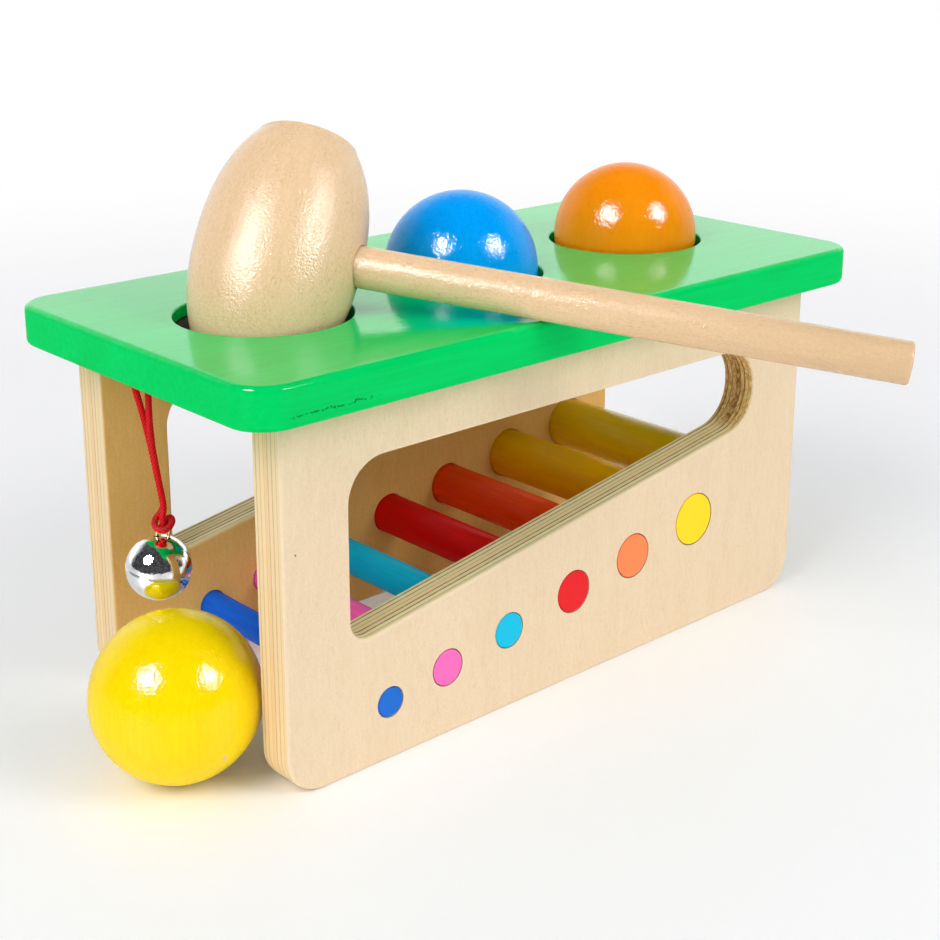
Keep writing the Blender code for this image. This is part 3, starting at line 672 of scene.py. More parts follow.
@dataclass(frozen=True)
class BirchPlywood:
    """Clear-finished birch plywood, with its layers on every cut edge."""

    face: Colour = srgb(242, 219, 187)
    face_deep: Colour = srgb(232, 207, 171)
    # The inner face's colours are warmer than the outer face's: painted warm bounce light and
    # shade inside the bench.
    inner: Colour = srgb(252, 208, 132)
    inner_deep: Colour = srgb(242, 190, 108)
    # A deeper colour laid on the inner face up high, under the board: painted shade.
    inner_painted_shade: Colour = srgb(232, 160, 84)
    layer_light: Colour = srgb(255, 236, 188)
    layer_deep: Colour = srgb(254, 216, 154)
    layer_cool: Colour = srgb(244, 218, 178)
    lip: Colour = srgb(255, 240, 206)
    end: Colour = srgb(212, 160, 94)
    glue: Colour = srgb(146, 88, 32)
    scorch: Colour = srgb(250, 214, 144)
    scorch_deep: Colour = srgb(136, 84, 32)
    # A pale colour laid on the rounded edges: painted highlight.
    arris_highlight: Colour = srgb(252, 236, 210)
    knot: Colour = srgb(150, 112, 84)
    weathered: Colour = srgb(212, 176, 134)
    cool_share: float = 0.8
    end_share: float = 0.14
    lip_share: float = 0.75
    weathered_share: float = 0.35
    end_glue: float = 0.42
    fleck_share: float = 0.14
    # How much of that painted shade lies on the inner face up high, and the heights where it
    # comes in.
    painted_shade_share: float = 0.6
    painted_shade_from: tuple = (0.06, 0.125)
    scorch_from: tuple = (0.05, 0.07)
    roughness: float = 0.45
    shine: float = 0.07
    relief: float = 0.00015
    plies: float = 7.0
    grain_scale: float = 1100.0
    grain_stretch: float = 6.0
    fleck_scale: float = 2200.0
    fleck_stretch: float = 4.0
    sand_scale: float = 1500.0
    streak_scale: float = 1700.0
    streak_squash: tuple = (0.4, 1.0, 0.4)

    def cut_edge(
        self,
        wires: Wiring,
        plies: bpy.types.Node,
        normal: Sequence[Socket],
        scorch: Socket,
        place: Socket,
    ) -> Socket:
        """The colour of a cut edge.

        Args:
            wires: The material's wiring.
            plies: The placed group of the layers.
            normal: The three parts of the surface's direction.
            scorch: How far the cutter has browned it.
            place: Where the pattern is read.

        Returns:
            The colour.
        """
        tone, glue = plies.outputs["Tone"], plies.outputs["Glue"]
        on_end = wires.times(normal[0], normal[0])
        layers = wires.mix(tone, self.layer_deep, self.layer_light)
        # The later digits of a layer's tone serve as a second draw.
        cool = wires.step(wires.sum("FRACT", wires.times(tone, 7.0)), 0.55, 0.75)
        layers = wires.mix(wires.times(cool, self.cool_share), layers, self.layer_cool)
        end = wires.times(plies.outputs["End"], self.end_share)
        layers = wires.mix(end, layers, self.end)
        lip = wires.times(plies.outputs["Lip"], self.lip_share)
        layers = wires.mix(lip, layers, self.lip)
        dark = wires.between(on_end, 1.0, self.end_glue)
        layers = wires.mix(wires.times(glue, dark), layers, self.glue)
        layers = wires.mix(wires.times(on_end, self.weathered_share), layers, self.weathered)
        drawn = wires.vector("MULTIPLY", place, self.streak_squash)
        streaks = wires.step(wires.noise(drawn, self.streak_scale, rough=0.6), 0.36, 0.62)
        light = wires.plus(wires.times(tone, 0.5), wires.times(streaks, 0.55), clamp=True)
        browned = wires.mix(light, self.scorch_deep, self.scorch)
        browned = wires.mix(wires.times(glue, 0.8), browned, self.scorch_deep)
        return wires.mix(scorch, layers, browned)

    def face_colour(
        self, wires: Wiring, tone: Socket, inward: Socket, height: Socket, flecks: Socket
    ) -> Socket:
        """The colour of a panel's flat faces; the inner one is painted warmer as bounce light,
        and painted deeper up high as shade under the board.

        Args:
            wires: The material's wiring.
            tone: The wood's light and dark.
            inward: Where the face looks into the bench.
            height: The height above the floor.
            flecks: The wood's short dashes.

        Returns:
            The colour.
        """
        face = wires.mix(tone, self.face_deep, self.face)
        # The inner face takes the warmer colours: painted bounce light.
        inner = wires.mix(tone, self.inner_deep, self.inner)
        # Deeper up high on the inner face, under the board: painted shade.
        high = wires.between(wires.step(height, *self.painted_shade_from), 0.0, self.painted_shade_share)
        inner = wires.mix(high, inner, self.inner_painted_shade)
        face = wires.mix(inward, face, inner)
        return wires.mix(wires.times(flecks, self.fleck_share), face, self.end)

    def material(
        self,
        name: str,
        effects: Effects,
        middle: Vector,
        thickness: float,
        side: int,
        knot: Vector,
        size: float,
    ) -> bpy.types.Material:
        """Makes the material for one panel.

        Args:
            name: Its name.
            effects: The shared shader groups.
            middle: The panel's middle.
            thickness: The panel's thickness.
            side: Which way its outer face looks along Y.
            knot: The place of the one pin knot on its face.
            size: The knot's radius.

        Returns:
            The material.
        """
        material, wires, shader = blank_material(name)
        place, facing = wires.place(), wires.facing()
        normal = wires.parts(facing)
        x, y, z = wires.parts(place)
        grain = wires.group(
            effects.grain, place=place, scale=self.grain_scale, stretch=self.grain_stretch
        )
        flecks = wires.group(
            effects.flecks, place=place, scale=self.fleck_scale, stretch=self.fleck_stretch
        )
        sand = wires.step(wires.noise(place, self.sand_scale, rough=0.6), 0.38, 0.62)
        tone = wires.plus(wires.times(grain.outputs["Tone"], 0.6), wires.times(sand, 0.4))
        inward = wires.step(wires.times(normal[1], -float(side)), 0.2, 0.8)
        face = self.face_colour(wires, tone, inward, z, flecks.outputs["Mask"])
        depth = wires.sum("DIVIDE", wires.minus(y, middle.y - thickness / 2), thickness)
        plies = wires.group(
            effects.plies, depth=depth, plies=self.plies, place=place, facing=facing
        )
        flat = wires.times(normal[1], normal[1])
        edge = wires.sum("SUBTRACT", 1.0, flat, clamp=True)
        beyond = wires.step(wires.minus(x, middle.x), *self.scorch_from)
        scorch = wires.times(beyond, wires.step(wires.times(normal[0], -1.0), 0.1, 0.7))
        colour = wires.mix(edge, face, self.cut_edge(wires, plies, normal, scorch, place))
        # The rounded edges take a pale colour: painted highlight.
        colour = wires.mix(wires.times(edge, flat), colour, self.arris_highlight)
        apart = wires.vector("LENGTH", wires.vector("SUBTRACT", place, tuple(knot)))
        spot = wires.rest(wires.step(apart, size * 0.4, size))
        wires.feed(shader.inputs["Base Color"], wires.mix(spot, colour, self.knot))
        rough = wires.between(tone, self.roughness * 1.12, self.roughness * 0.9)
        wires.feed(shader.inputs["Roughness"], wires.plus(rough, wires.times(scorch, 0.3)))
        fibres = wires.times(plies.outputs["Height"], wires.plus(0.4, scorch))
        relief = wires.plus(wires.times(flecks.outputs["Height"], 0.25), fibres)
        relief = wires.minus(relief, wires.times(plies.outputs["Glue"], 0.15))
        wires.feed(shader.inputs["Normal"], bump(wires, relief, 0.6, self.relief))
        shader.inputs["Specular IOR Level"].default_value = self.shine
        return material


@dataclass(frozen=True)
class LacqueredBeech:
    """Steamed beech under a satin lacquer, its pores breaking up the gloss."""

    light: Colour = srgb(242, 210, 169)
    deep: Colour = srgb(232, 195, 151)
    fleck: Colour = srgb(196, 146, 96)
    grain_scale: float = 700.0
    grain_stretch: float = 10.0
    fleck_scale: float = 2400.0
    fleck_stretch: float = 3.5
    fleck_share: float = 0.30
    sand_scale: float = 1400.0
    roughness: float = 0.12
    pores: float = 0.00022
    shine: float = 0.16
    # A darker colour laid towards the far end of the piece along its grain.
    far_end_tone: Colour = srgb(212, 178, 136)
    far_end_from: tuple = (0.07, 0.17)
    far_end_share: float = 0.0

    def material(
        self, name: str, effects: Effects, middle: Vector, grain: Vector
    ) -> bpy.types.Material:
        """Makes the material.

        Args:
            name: Its name.
            effects: The shared shader groups.
            middle: The piece's middle.
            grain: The way its grain runs.

        Returns:
            The material.
        """
        material, wires, shader = blank_material(name)
        turn = grain.to_track_quat("Z", "Y").to_euler()
        place = wires.place(turn, middle)
        straight = wires.group(
            effects.grain, place=place, scale=self.grain_scale, stretch=self.grain_stretch
        )
        flecks = wires.group(
            effects.flecks, place=place, scale=self.fleck_scale, stretch=self.fleck_stretch
        )
        sand = wires.noise(place, self.sand_scale, rough=0.55)
        tone = wires.plus(straight.outputs["Tone"], wires.step(sand, 0.35, 0.65))
        colour = wires.mix(wires.times(tone, 0.5), self.deep, self.light)
        dashes = wires.times(flecks.outputs["Mask"], self.fleck_share)
        colour = wires.mix(dashes, colour, self.fleck)
        # Darker towards the far end of the piece along its grain.
        if self.far_end_share:
            toward_far_end = wires.step(wires.parts(place)[2], *self.far_end_from)
            colour = wires.mix(wires.times(toward_far_end, self.far_end_share), colour, self.far_end_tone)
        wires.feed(shader.inputs["Base Color"], colour)
        rough = wires.between(sand, self.roughness * 0.8, self.roughness * 1.2)
        wires.feed(shader.inputs["Roughness"], rough)
        wires.feed(shader.inputs["Normal"], bump(wires, sand, 1.0, self.pores))
        shader.inputs["Specular IOR Level"].default_value = self.shine
        return material


@dataclass(frozen=True)
class Metal:
    """Plated or bare metal, with faint smears."""

    colour: Colour
    dull: Colour
    roughness: float = 0.05
    dent: float = 0.0
    dent_scale: float = 1300.0
    relief: float = 0.0001
    smear_scale: float = 240.0

    def material(self, name: str, effects: Effects) -> bpy.types.Material:
        """Makes the material.

        Args:
            name: Its name.
            effects: The shared shader groups.

        Returns:
            The material.
        """
        material, wires, shader = blank_material(name)
        place = wires.place()
        marks = wires.group(effects.marks, place=place, scale=self.smear_scale)
        smear = marks.outputs["Smear"]
        wires.feed(shader.inputs["Base Color"], wires.mix(smear, self.colour, self.dull))
        rough = wires.between(smear, self.roughness * 0.7, self.roughness * 1.6)
        wires.feed(shader.inputs["Roughness"], rough)
        dents = wires.noise(place, self.dent_scale)
        wires.feed(shader.inputs["Normal"], bump(wires, dents, self.dent, self.relief))
        shader.inputs["Metallic"].default_value = 1.0
        return material


@dataclass(frozen=True)
class Rubber:
    """Moulded black rubber with a dry bloom."""

    colour: Colour = srgb(22, 22, 22)
    bloom: Colour = srgb(58, 57, 54)
    bloom_scale: float = 160.0
    skin_scale: float = 1800.0
    skin: float = 0.2
    relief: float = 0.0001
    roughness: float = 0.62

    def material(self, name: str, effects: Effects) -> bpy.types.Material:
        """Makes the material.

        Args:
            name: Its name.
            effects: The shared shader groups.

        Returns:
            The material.
        """
        material, wires, shader = blank_material(name)
        place = wires.place()
        marks = wires.group(effects.marks, place=place, scale=self.bloom_scale)
        smear = marks.outputs["Smear"]
        wires.feed(shader.inputs["Base Color"], wires.mix(smear, self.colour, self.bloom))
        rough = wires.between(smear, self.roughness, self.roughness * 1.2)
        wires.feed(shader.inputs["Roughness"], rough)
        skin = wires.noise(place, self.skin_scale)
        wires.feed(shader.inputs["Normal"], bump(wires, skin, self.skin, self.relief))
        return material


@dataclass(frozen=True)
class BraidedCord:
    """Round braided polyester, its own red where the yarns ride up, with painted shade in the
    gaps between them.
    """

    light: Colour = srgb(238, 0, 12)
    # The deep red is laid in the gaps between the yarns: painted shade.
    deep: Colour = srgb(116, 0, 2)
    fuzz: Colour = srgb(250, 34, 40)
    fuzz_scale: float = 5200.0
    roughness: float = 0.55
    shine: float = 0.1
    pitch: float = 0.0011
    yarns: float = 3.0
    relief: float = 0.00015

    def turns(self, length: float) -> float:
        """How many times a yarn goes round in a length of cord."""
        return length / self.pitch / 2

    def material(self, name: str, effects: Effects, length: float) -> bpy.types.Material:
        """Makes the material.

        Args:
            name: Its name.
            effects: The shared shader groups.
            length: The cord's length.

        Returns:
            The material.
        """
        material, wires, shader = blank_material(name)
        source = wires.add("ShaderNodeUVMap", uv_map="UVMap").outputs["UV"]
        yarns = wires.group(
            effects.braid, place=source, round=self.yarns, along=self.turns(length)
        )
        fuzz = wires.noise(wires.place(), self.fuzz_scale, rough=0.7)
        # The gaps between the yarns take the deep red: painted shade.
        colour = wires.mix(yarns.outputs["Gap"], self.light, self.deep)
        colour = wires.mix(wires.step(fuzz, 0.5, 0.8), colour, self.fuzz)
        wires.feed(shader.inputs["Base Color"], colour)
        rough = wires.between(fuzz, self.roughness * 0.8, self.roughness * 1.3)
        wires.feed(shader.inputs["Roughness"], rough)
        height = wires.plus(yarns.outputs["Height"], wires.times(fuzz, 0.3))
        wires.feed(shader.inputs["Normal"], bump(wires, height, 0.6, self.relief))
        shader.inputs["Specular IOR Level"].default_value = self.shine
        return material


@dataclass
class Workshop:
    """Turns finished shapes into named pieces that ride on their bodies."""

    effects: Effects = field(default_factory=Effects)
    sharp: float = math.radians(38)

    def piece(
        self,
        name: str,
        shape: bmesh.types.BMesh,
        material: bpy.types.Material,
        body: Body,
        node: str,
    ) -> bpy.types.Object:
        """Makes a piece from a shape in its place, which the call uses up.

        Args:
            name: The piece's name.
            shape: Its shape, in its place.
            material: Its finish.
            body: The body that it rides on.
            node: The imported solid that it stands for.

        Returns:
            The piece.
        """
        bmesh.ops.remove_doubles(shape, verts=shape.verts, dist=MERGE)
        bmesh.ops.recalc_face_normals(shape, faces=shape.faces)
        mesh = bpy.data.meshes.new(name)
        shape.to_mesh(mesh)
        shape.free()
        return self.finish(name, mesh, material, body, node)

    def finish(
        self,
        name: str,
        mesh: bpy.types.Mesh,
        material: bpy.types.Material,
        body: Body,
        node: str,
        bend: tuple[Vector, Vector] | None = None,
    ) -> bpy.types.Object:
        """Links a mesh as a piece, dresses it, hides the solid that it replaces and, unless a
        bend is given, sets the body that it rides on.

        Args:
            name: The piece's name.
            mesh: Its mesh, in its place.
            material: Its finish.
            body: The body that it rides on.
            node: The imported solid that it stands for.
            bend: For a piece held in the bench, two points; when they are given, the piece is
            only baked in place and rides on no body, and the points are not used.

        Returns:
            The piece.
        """
        mesh.shade_smooth()
        mesh.set_sharp_from_angle(angle=self.sharp)
        mesh.materials.clear()
        mesh.materials.append(material)
        made = bpy.data.objects.new(name, mesh)
        bpy.context.scene.collection.objects.link(made)
        if bend:
            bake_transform(made)
        else:
            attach(made, body.value)
        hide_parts(node)
        log.info("%s: %d faces on %s", name, len(mesh.polygons), body.value)
        return made

    def dress(self, node: str, material: bpy.types.Material) -> None:
        """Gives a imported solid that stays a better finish.

        Args:
            node: The solid's name.
            material: Its finish.
        """
        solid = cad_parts[node]
        solid.data.materials.clear()
        solid.data.materials.append(material)
        log.info("%s: kept from the frame", node)

    def carved(
        self, shape: bmesh.types.BMesh, tools: Sequence[bmesh.types.BMesh]
    ) -> bmesh.types.BMesh:
        """Cuts closed tools out of a shape; the shape and the tools are used up.

        Args:
            shape: The closed shape.
            tools: What is cut out of it.

        Returns:
            The shape with the cuts.
        """
        helpers = []
        for part in (shape, *tools):
            bmesh.ops.recalc_face_normals(part, faces=part.faces)
            mesh = bpy.data.meshes.new("blank")
            part.to_mesh(mesh)
            part.free()
            helper = bpy.data.objects.new("blank", mesh)
            bpy.context.scene.collection.objects.link(helper)
            helpers.append(helper)
        for tool in helpers[1:]:
            cut = helpers[0].modifiers.new("cut", "BOOLEAN")
            cut.operation = "DIFFERENCE"
            cut.solver = "EXACT"
            cut.object = tool
        whole = helpers[0].evaluated_get(bpy.context.evaluated_depsgraph_get())
        result = bmesh.new()
        result.from_mesh(whole.to_mesh())
        whole.to_mesh_clear()
        for helper in helpers:
            old = helper.data
            bpy.data.objects.remove(helper, do_unlink=True)
            bpy.data.meshes.remove(old)
        return result


def rod_shape(
    radius: float, start: Vector, end: Vector, steps: int, end_round: float
) -> bmesh.types.BMesh:
    """A rod between two points, with rounded ends.

    Args:
        radius: The rod's radius.
        start: The middle of one end.
        end: The middle of the other end.
        steps: The facets round it.
        end_round: The radius of the rounding at the ends, or 0.

    Returns:
        The rod.
    """
    shape = bmesh.new()
    turn = (end - start).to_track_quat("Z", "Y").to_matrix().to_4x4()
    place = Matrix.Translation((start + end) / 2) @ turn
    length = (end - start).length
    side = math.radians(60)
    bmesh.ops.create_cone(
        shape,
        cap_ends=True,
        segments=steps,
        radius1=radius,
        radius2=radius,
        depth=length,
        matrix=place,
    )
    if end_round:
        caps = [face for face in shape.faces if len(face.verts) > 4]
        bmesh.ops.inset_region(shape, faces=caps, thickness=end_round + SUPPORT, depth=0)
        rims = [edge for edge in shape.edges if edge.calc_face_angle(0) > side]
        bmesh.ops.bevel(
            shape,
            geom=rims,
            offset=end_round,
            segments=4,
            profile=0.5,
            affect="EDGES",
            material=-1,
        )
    return shape


def turned_shape(profile: Sequence[tuple[float, float]], steps: int) -> bmesh.types.BMesh:
    """Turns a profile once about Z.

    Args:
        profile: Its (radius, height) pairs.
        steps: The facets round it.

    Returns:
        The turned shape.
    """
    shape = bmesh.new()
    points = [shape.verts.new((radius, 0, height)) for radius, height in profile]
    edges = [shape.edges.new(pair) for pair in zip(points, points[1:])]
    bmesh.ops.spin(
        shape,
        geom=points + edges,
        cent=(0, 0, 0),
        axis=(0, 0, 1),
        angle=math.tau,
        steps=steps,
        use_merge=True,
    )
    bmesh.ops.remove_doubles(shape, verts=shape.verts, dist=MERGE)
    return shape


def arc(
    middle: tuple[float, float], radius: float, start: float, end: float, steps: int
) -> list[tuple[float, float]]:
    """Points on an arc, both ends included.

    Args:
        middle: The arc's middle.
        radius: Its radius.
        start: The angle of its first point, in degrees.
        end: The angle of its last one.
        steps: How many steps lead from one to the other.

    Returns:
        The points.
    """
    turns = [math.radians(start + (end - start) * k / steps) for k in range(steps + 1)]
    x, y = middle
    return [(x + radius * math.cos(t), y + radius * math.sin(t)) for t in turns]


@dataclass
class Corner:
    """A corner of a flat outline and the radius that rounds it."""

    x: float
    y: float
    radius: float


class Plate:
    """A flat plate in its own XY plane, built from closed loops of edges joined by bands."""

    def __init__(self, thickness: float, corner_steps: int = 14) -> None:
        """Starts an empty plate.

        Args:
            thickness: Its thickness.
            corner_steps: The facets of a rounded corner.
        """
        self.shape = bmesh.new()
        self.half = thickness / 2
        self.corner_steps = corner_steps
        self.rims: dict[int, list] = {1: [], -1: []}

    def circle(self, x: float, y: float, radius: float, z: float, steps: int) -> list:
        """Draws a circle in the plate.

        Args:
            x: Its middle across.
            y: Its middle up.
            radius: Its radius.
            z: Its height in the thickness.
            steps: The edges round it.

        Returns:
            The edges.
        """
        made = bmesh.ops.create_circle(
            self.shape, segments=steps, radius=radius, matrix=Matrix.Translation((x, y, z))
        )
        return list({edge for vert in made["verts"] for edge in vert.link_edges})

    def outline(self, corners: Sequence[Corner], grow: float, z: float) -> list:
        """The edges of a rounded outline.

        Args:
            corners: Its corners, anticlockwise.
            grow: How far each side moves outwards.
            z: Its height.

        Returns:
            The edges.
        """
        points = []
        for i, corner in enumerate(corners):
            here = Vector((corner.x, corner.y))
            before, after = corners[i - 1], corners[(i + 1) % len(corners)]
            back = Vector((before.x, before.y)) - here
            ahead = Vector((after.x, after.y)) - here
            half = back.angle(ahead) / 2
            inward = (back.normalized() + ahead.normalized()).normalized() / math.sin(half)
            if corner.radius:
                middle = here + inward * corner.radius
                start = math.degrees(math.atan2(-back.y, -back.x)) - 90
                end = start + 180 - 2 * math.degrees(half)
                points += arc(middle, corner.radius + grow, start, end, self.corner_steps)
            else:
                points.append(here - inward * grow)
        verts = [self.shape.verts.new((*point, z)) for point in points]
        return [self.shape.edges.new(pair) for pair in zip(verts, verts[1:] + verts[:1])]

    def band(self, loops: Sequence[list]) -> None:
        """Joins each loop to the next."""
        for first, second in zip(loops, loops[1:]):
            bmesh.ops.bridge_loops(self.shape, edges=[*first, *second])

    def rounded(self, radius: float, steps: int) -> list[tuple[float, float]]:
        """Goes up a rounded edge, from the lower face to the upper one.

        Args:
            radius: The rounding's radius.
            steps: The facets of the rounding.

        Returns:
            (inset, height) pairs.
        """
        half = self.half
        upper = [(0.0, half - radius - SUPPORT)]
        upper += [(radius + x, y) for x, y in arc((0, half - radius), radius, 180, 90, steps)]
        upper += [(radius + SUPPORT, half)]
        return [(inset, -height) for inset, height in reversed(upper)] + upper

    def side(
        self, corners: Sequence[Corner], inward: int, radius: float, steps: int = 4
    ) -> None:
        """Walls an outline, the plate's outer side or a window in it.

        Args:
            corners: The outline's corners, anticlockwise.
            inward: 1 for the outer side, -1 for a window.
            radius: How far its edges are rounded.
            steps: The facets of the rounding.
        """
        rows = self.rounded(radius, steps)
        loops = [self.outline(corners, -inward * inset, z) for inset, z in rows]
        self.band(loops)
        self.rims[-1] += loops[0]
        self.rims[1] += loops[-1]

    def bore(
        self, x: float, y: float, profile: Sequence[tuple[float, float]], steps: int
    ) -> None:
        """Walls a round hole right through.

        Args:
            x: Its middle across.
            y: Its middle up.
            profile: Its (radius, height) pairs, lowest first.
            steps: The facets round it.
        """
        loops = [self.circle(x, y, radius, z, steps) for radius, z in profile]
        self.band(loops)
        self.rims[-1] += loops[0]
        self.rims[1] += loops[-1]

    def well(
        self, x: float, y: float, radius: float, depth: float, up: int, steps: int
    ) -> None:
        """Walls a blind hole.

        Args:
            x: Its middle across.
            y: Its middle up.
            radius: Its radius.
            depth: How deep it is.
            up: 1 in the upper face, -1 in the lower one.
            steps: The facets round it.
        """
        mouth = self.circle(x, y, radius, up * self.half, steps)
        floor = self.circle(x, y, radius, up * (self.half - depth), steps)
        self.band([mouth, floor])
        bmesh.ops.triangle_fill(self.shape, use_beauty=True, use_dissolve=False, edges=floor)
        self.rims[up] += mouth

    def close(self) -> bmesh.types.BMesh:
        """Fills both faces between their rims.

        Returns:
            The finished plate.
        """
        for rims in self.rims.values():
            bmesh.ops.triangle_fill(self.shape, use_beauty=True, use_dissolve=False, edges=rims)
        bmesh.ops.recalc_face_normals(self.shape, faces=self.shape.faces)
        return self.shape


@dataclass
class TopBoard:
    """The painted board with its three grooved holes, and the rubber rings in them."""

    corner: float = 0.0115
    edge_round: float = 0.0018
    hole: float = 0.0502
    pitch: float = 0.0736
    row_shift: float = -0.0008
    rim_round: float = 0.0006
    ring_section: float = 0.0044
    ring_radius: float = 0.02495
    ring_play: float = 0.0020
    ring_facets: int = 24
    ring_steps: int = 96
    well_steps: int = 40
    steps: int = 128
    paint: BoardPaint = BoardPaint(
        light=srgb(0, 214, 106),
        deep=srgb(0, 202, 92),
        chip=srgb(6, 120, 44),
        side_gloss=0.12,
        gloss_roughness=0.05,
        peel=0.00004,
        peel_scale=900.0,
        grain_scale=620.0,
        grain_depth=0.16,
    )

    def hole_profile(self, half: float) -> list[tuple[float, float]]:
        """Goes up a hole's wall, with the groove for its ring.

        Args:
            half: Half the board's thickness.

        Returns:
            (radius, height) pairs.
        """
        wall, rim = self.hole / 2, self.rim_round
        groove = self.ring_radius + self.ring_section / 2 + self.ring_play + GAP
        lip = self.ring_section / 2 + GAP
        upper = arc((wall + rim, half - rim), rim, 180, 90, 4)
        upper += [(wall + rim + SUPPORT, half)]
        lower = [(radius, -z) for radius, z in reversed(upper)]
        return [*lower, (wall, -lip), (groove, -lip), (groove, lip), (wall, lip), *upper]

    def build(self, shop: Workshop) -> None:
        """Makes the board and its rings.

        Args:
            shop: Where pieces are finished.
        """
        low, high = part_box("top_board")
        half_x, half_y = (high.x - low.x) / 2, (high.y - low.y) / 2
        plate = Plate(high.z - low.z)
        signs = ((-1, -1), (1, -1), (1, 1), (-1, 1))
        corners = [Corner(x * half_x, y * half_y, self.corner) for x, y in signs]
        plate.side(corners, 1, self.edge_round, 6)
        for k in (-1, 0, 1):
            x = self.row_shift + k * self.pitch
            plate.bore(x, 0, self.hole_profile(plate.half), self.steps)
        plug = box_middle("cord_plug") - box_middle("top_board")
        plug_low, plug_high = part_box("cord_plug")
        bore = (plug_high.x - plug_low.x) / 2 + GAP
        depth = plug_high.z - plug_low.z + GAP
        plate.well(plug.x, plug.y, bore, depth, -1, self.well_steps)
        shape = plate.close()
        middle = box_middle("top_board")
        bmesh.ops.translate(shape, vec=middle, verts=shape.verts)
        material = self.paint.material("green_gloss_paint", shop.effects, middle)
        shop.piece("board", shape, material, Body.BENCH, "top_board")
        rubber = Rubber().material("moulded_rubber", shop.effects)
        for name in ("mallet_hole_ring", "middle_hole_ring", "far_hole_ring"):
            self.build_ring(shop, name, rubber)

    def build_ring(self, shop: Workshop, node: str, rubber: bpy.types.Material) -> None:
        """Makes one rubber ring.

        Args:
            shop: Where pieces are finished.
            node: The ring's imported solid.
            rubber: Its finish.
        """
        section = self.ring_section / 2
        profile = arc((self.ring_radius, 0), section, -180, 180, self.ring_facets)
        shape = turned_shape(profile, self.ring_steps)
        bmesh.ops.translate(shape, vec=box_middle(node), verts=shape.verts)
        shop.piece(node.replace("_ring", "_rubber"), shape, rubber, Body.BENCH, node)


@dataclass
class SidePanels:
    """The two plywood panels with their slanted windows and rod holes."""

    thickness: float = 0.0120
    foot: float = 0.0115
    edge_round: float = 0.0009
    top_rail: float = 0.0171
    open_stile: float = 0.0218
    far_stile: float = 0.0236
    sill_height: float = 0.0375
    sill_slope: float = 0.160
    top_radius: float = 0.0120
    sill_radius: float = 0.0060
    far_radius: float = 0.0130
    end_seat: float = 0.0070
    knot: float = 0.00045
    knot_place: tuple = (-0.1018, 0.0692)
    corner_steps: int = 12
    bore_steps: int = 64
    plywood: BirchPlywood = BirchPlywood()

    def window(self, length: float, height: float) -> list[Corner]:
        """The window's corners, anticlockwise from the low one at the open end.

        Args:
            length: The panel's length.
            height: The panel's height.

        Returns:
            The corners.
        """
        left, right = self.open_stile - length / 2, length / 2 - self.far_stile
        top = height - self.top_rail
        far_sill = self.sill_height + self.sill_slope * (right - left)
        return [
            Corner(left, self.sill_height, self.sill_radius),
            Corner(right, far_sill, self.far_radius),
            Corner(right, top, self.far_radius),
            Corner(left, top, self.top_radius),
        ]

    def build(self, shop: Workshop) -> None:
        """Makes both panels.

        Args:
            shop: Where pieces are finished.
        """
        for node, side in (("front_panel", -1), ("back_panel", 1)):
            low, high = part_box(node)
            length, height = high.x - low.x, high.z - low.z
            plate = Plate(self.thickness, self.corner_steps)
            outer = [
                Corner(-length / 2, 0, self.foot),
                Corner(length / 2, 0, self.foot),
                Corner(length / 2, height, 0),
                Corner(-length / 2, height, 0),
            ]
            plate.side(outer, 1, self.edge_round)
            plate.side(self.window(length, height), -1, self.edge_round)
            half = self.thickness / 2
            for rod in (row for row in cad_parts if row.startswith("rod_")):
                rod_low, rod_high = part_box(rod)
                x = (rod_low.x + rod_high.x - low.x - high.x) / 2
                z = (rod_low.z + rod_high.z) / 2
                radius = (rod_high.z - rod_low.z) / 2 + GAP
                if rod == "rod_end":
                    depth = self.end_seat + GAP
                    plate.well(x, z, radius, depth, side, self.bore_steps)
                else:
                    wall = [(radius, -half), (radius, half)]
                    plate.bore(x, z, wall, self.bore_steps)
            shape = plate.close()
            turn = Matrix.Rotation(math.pi / 2, 4, "X")
            middle = Vector(((low.x + high.x) / 2, (low.y + high.y) / 2, 0))
            place = Matrix.Translation(middle) @ turn
            bmesh.ops.transform(shape, matrix=place, verts=shape.verts)
            outer_face = low.y if side < 0 else high.y
            knot = Vector((middle.x + self.knot_place[0], outer_face, self.knot_place[1]))
            material = self.plywood.material(
                f"{node}_birch", shop.effects, middle, self.thickness, side, knot, self.knot
            )
            shop.piece(f"{node}_wood", shape, material, Body.BENCH, node)


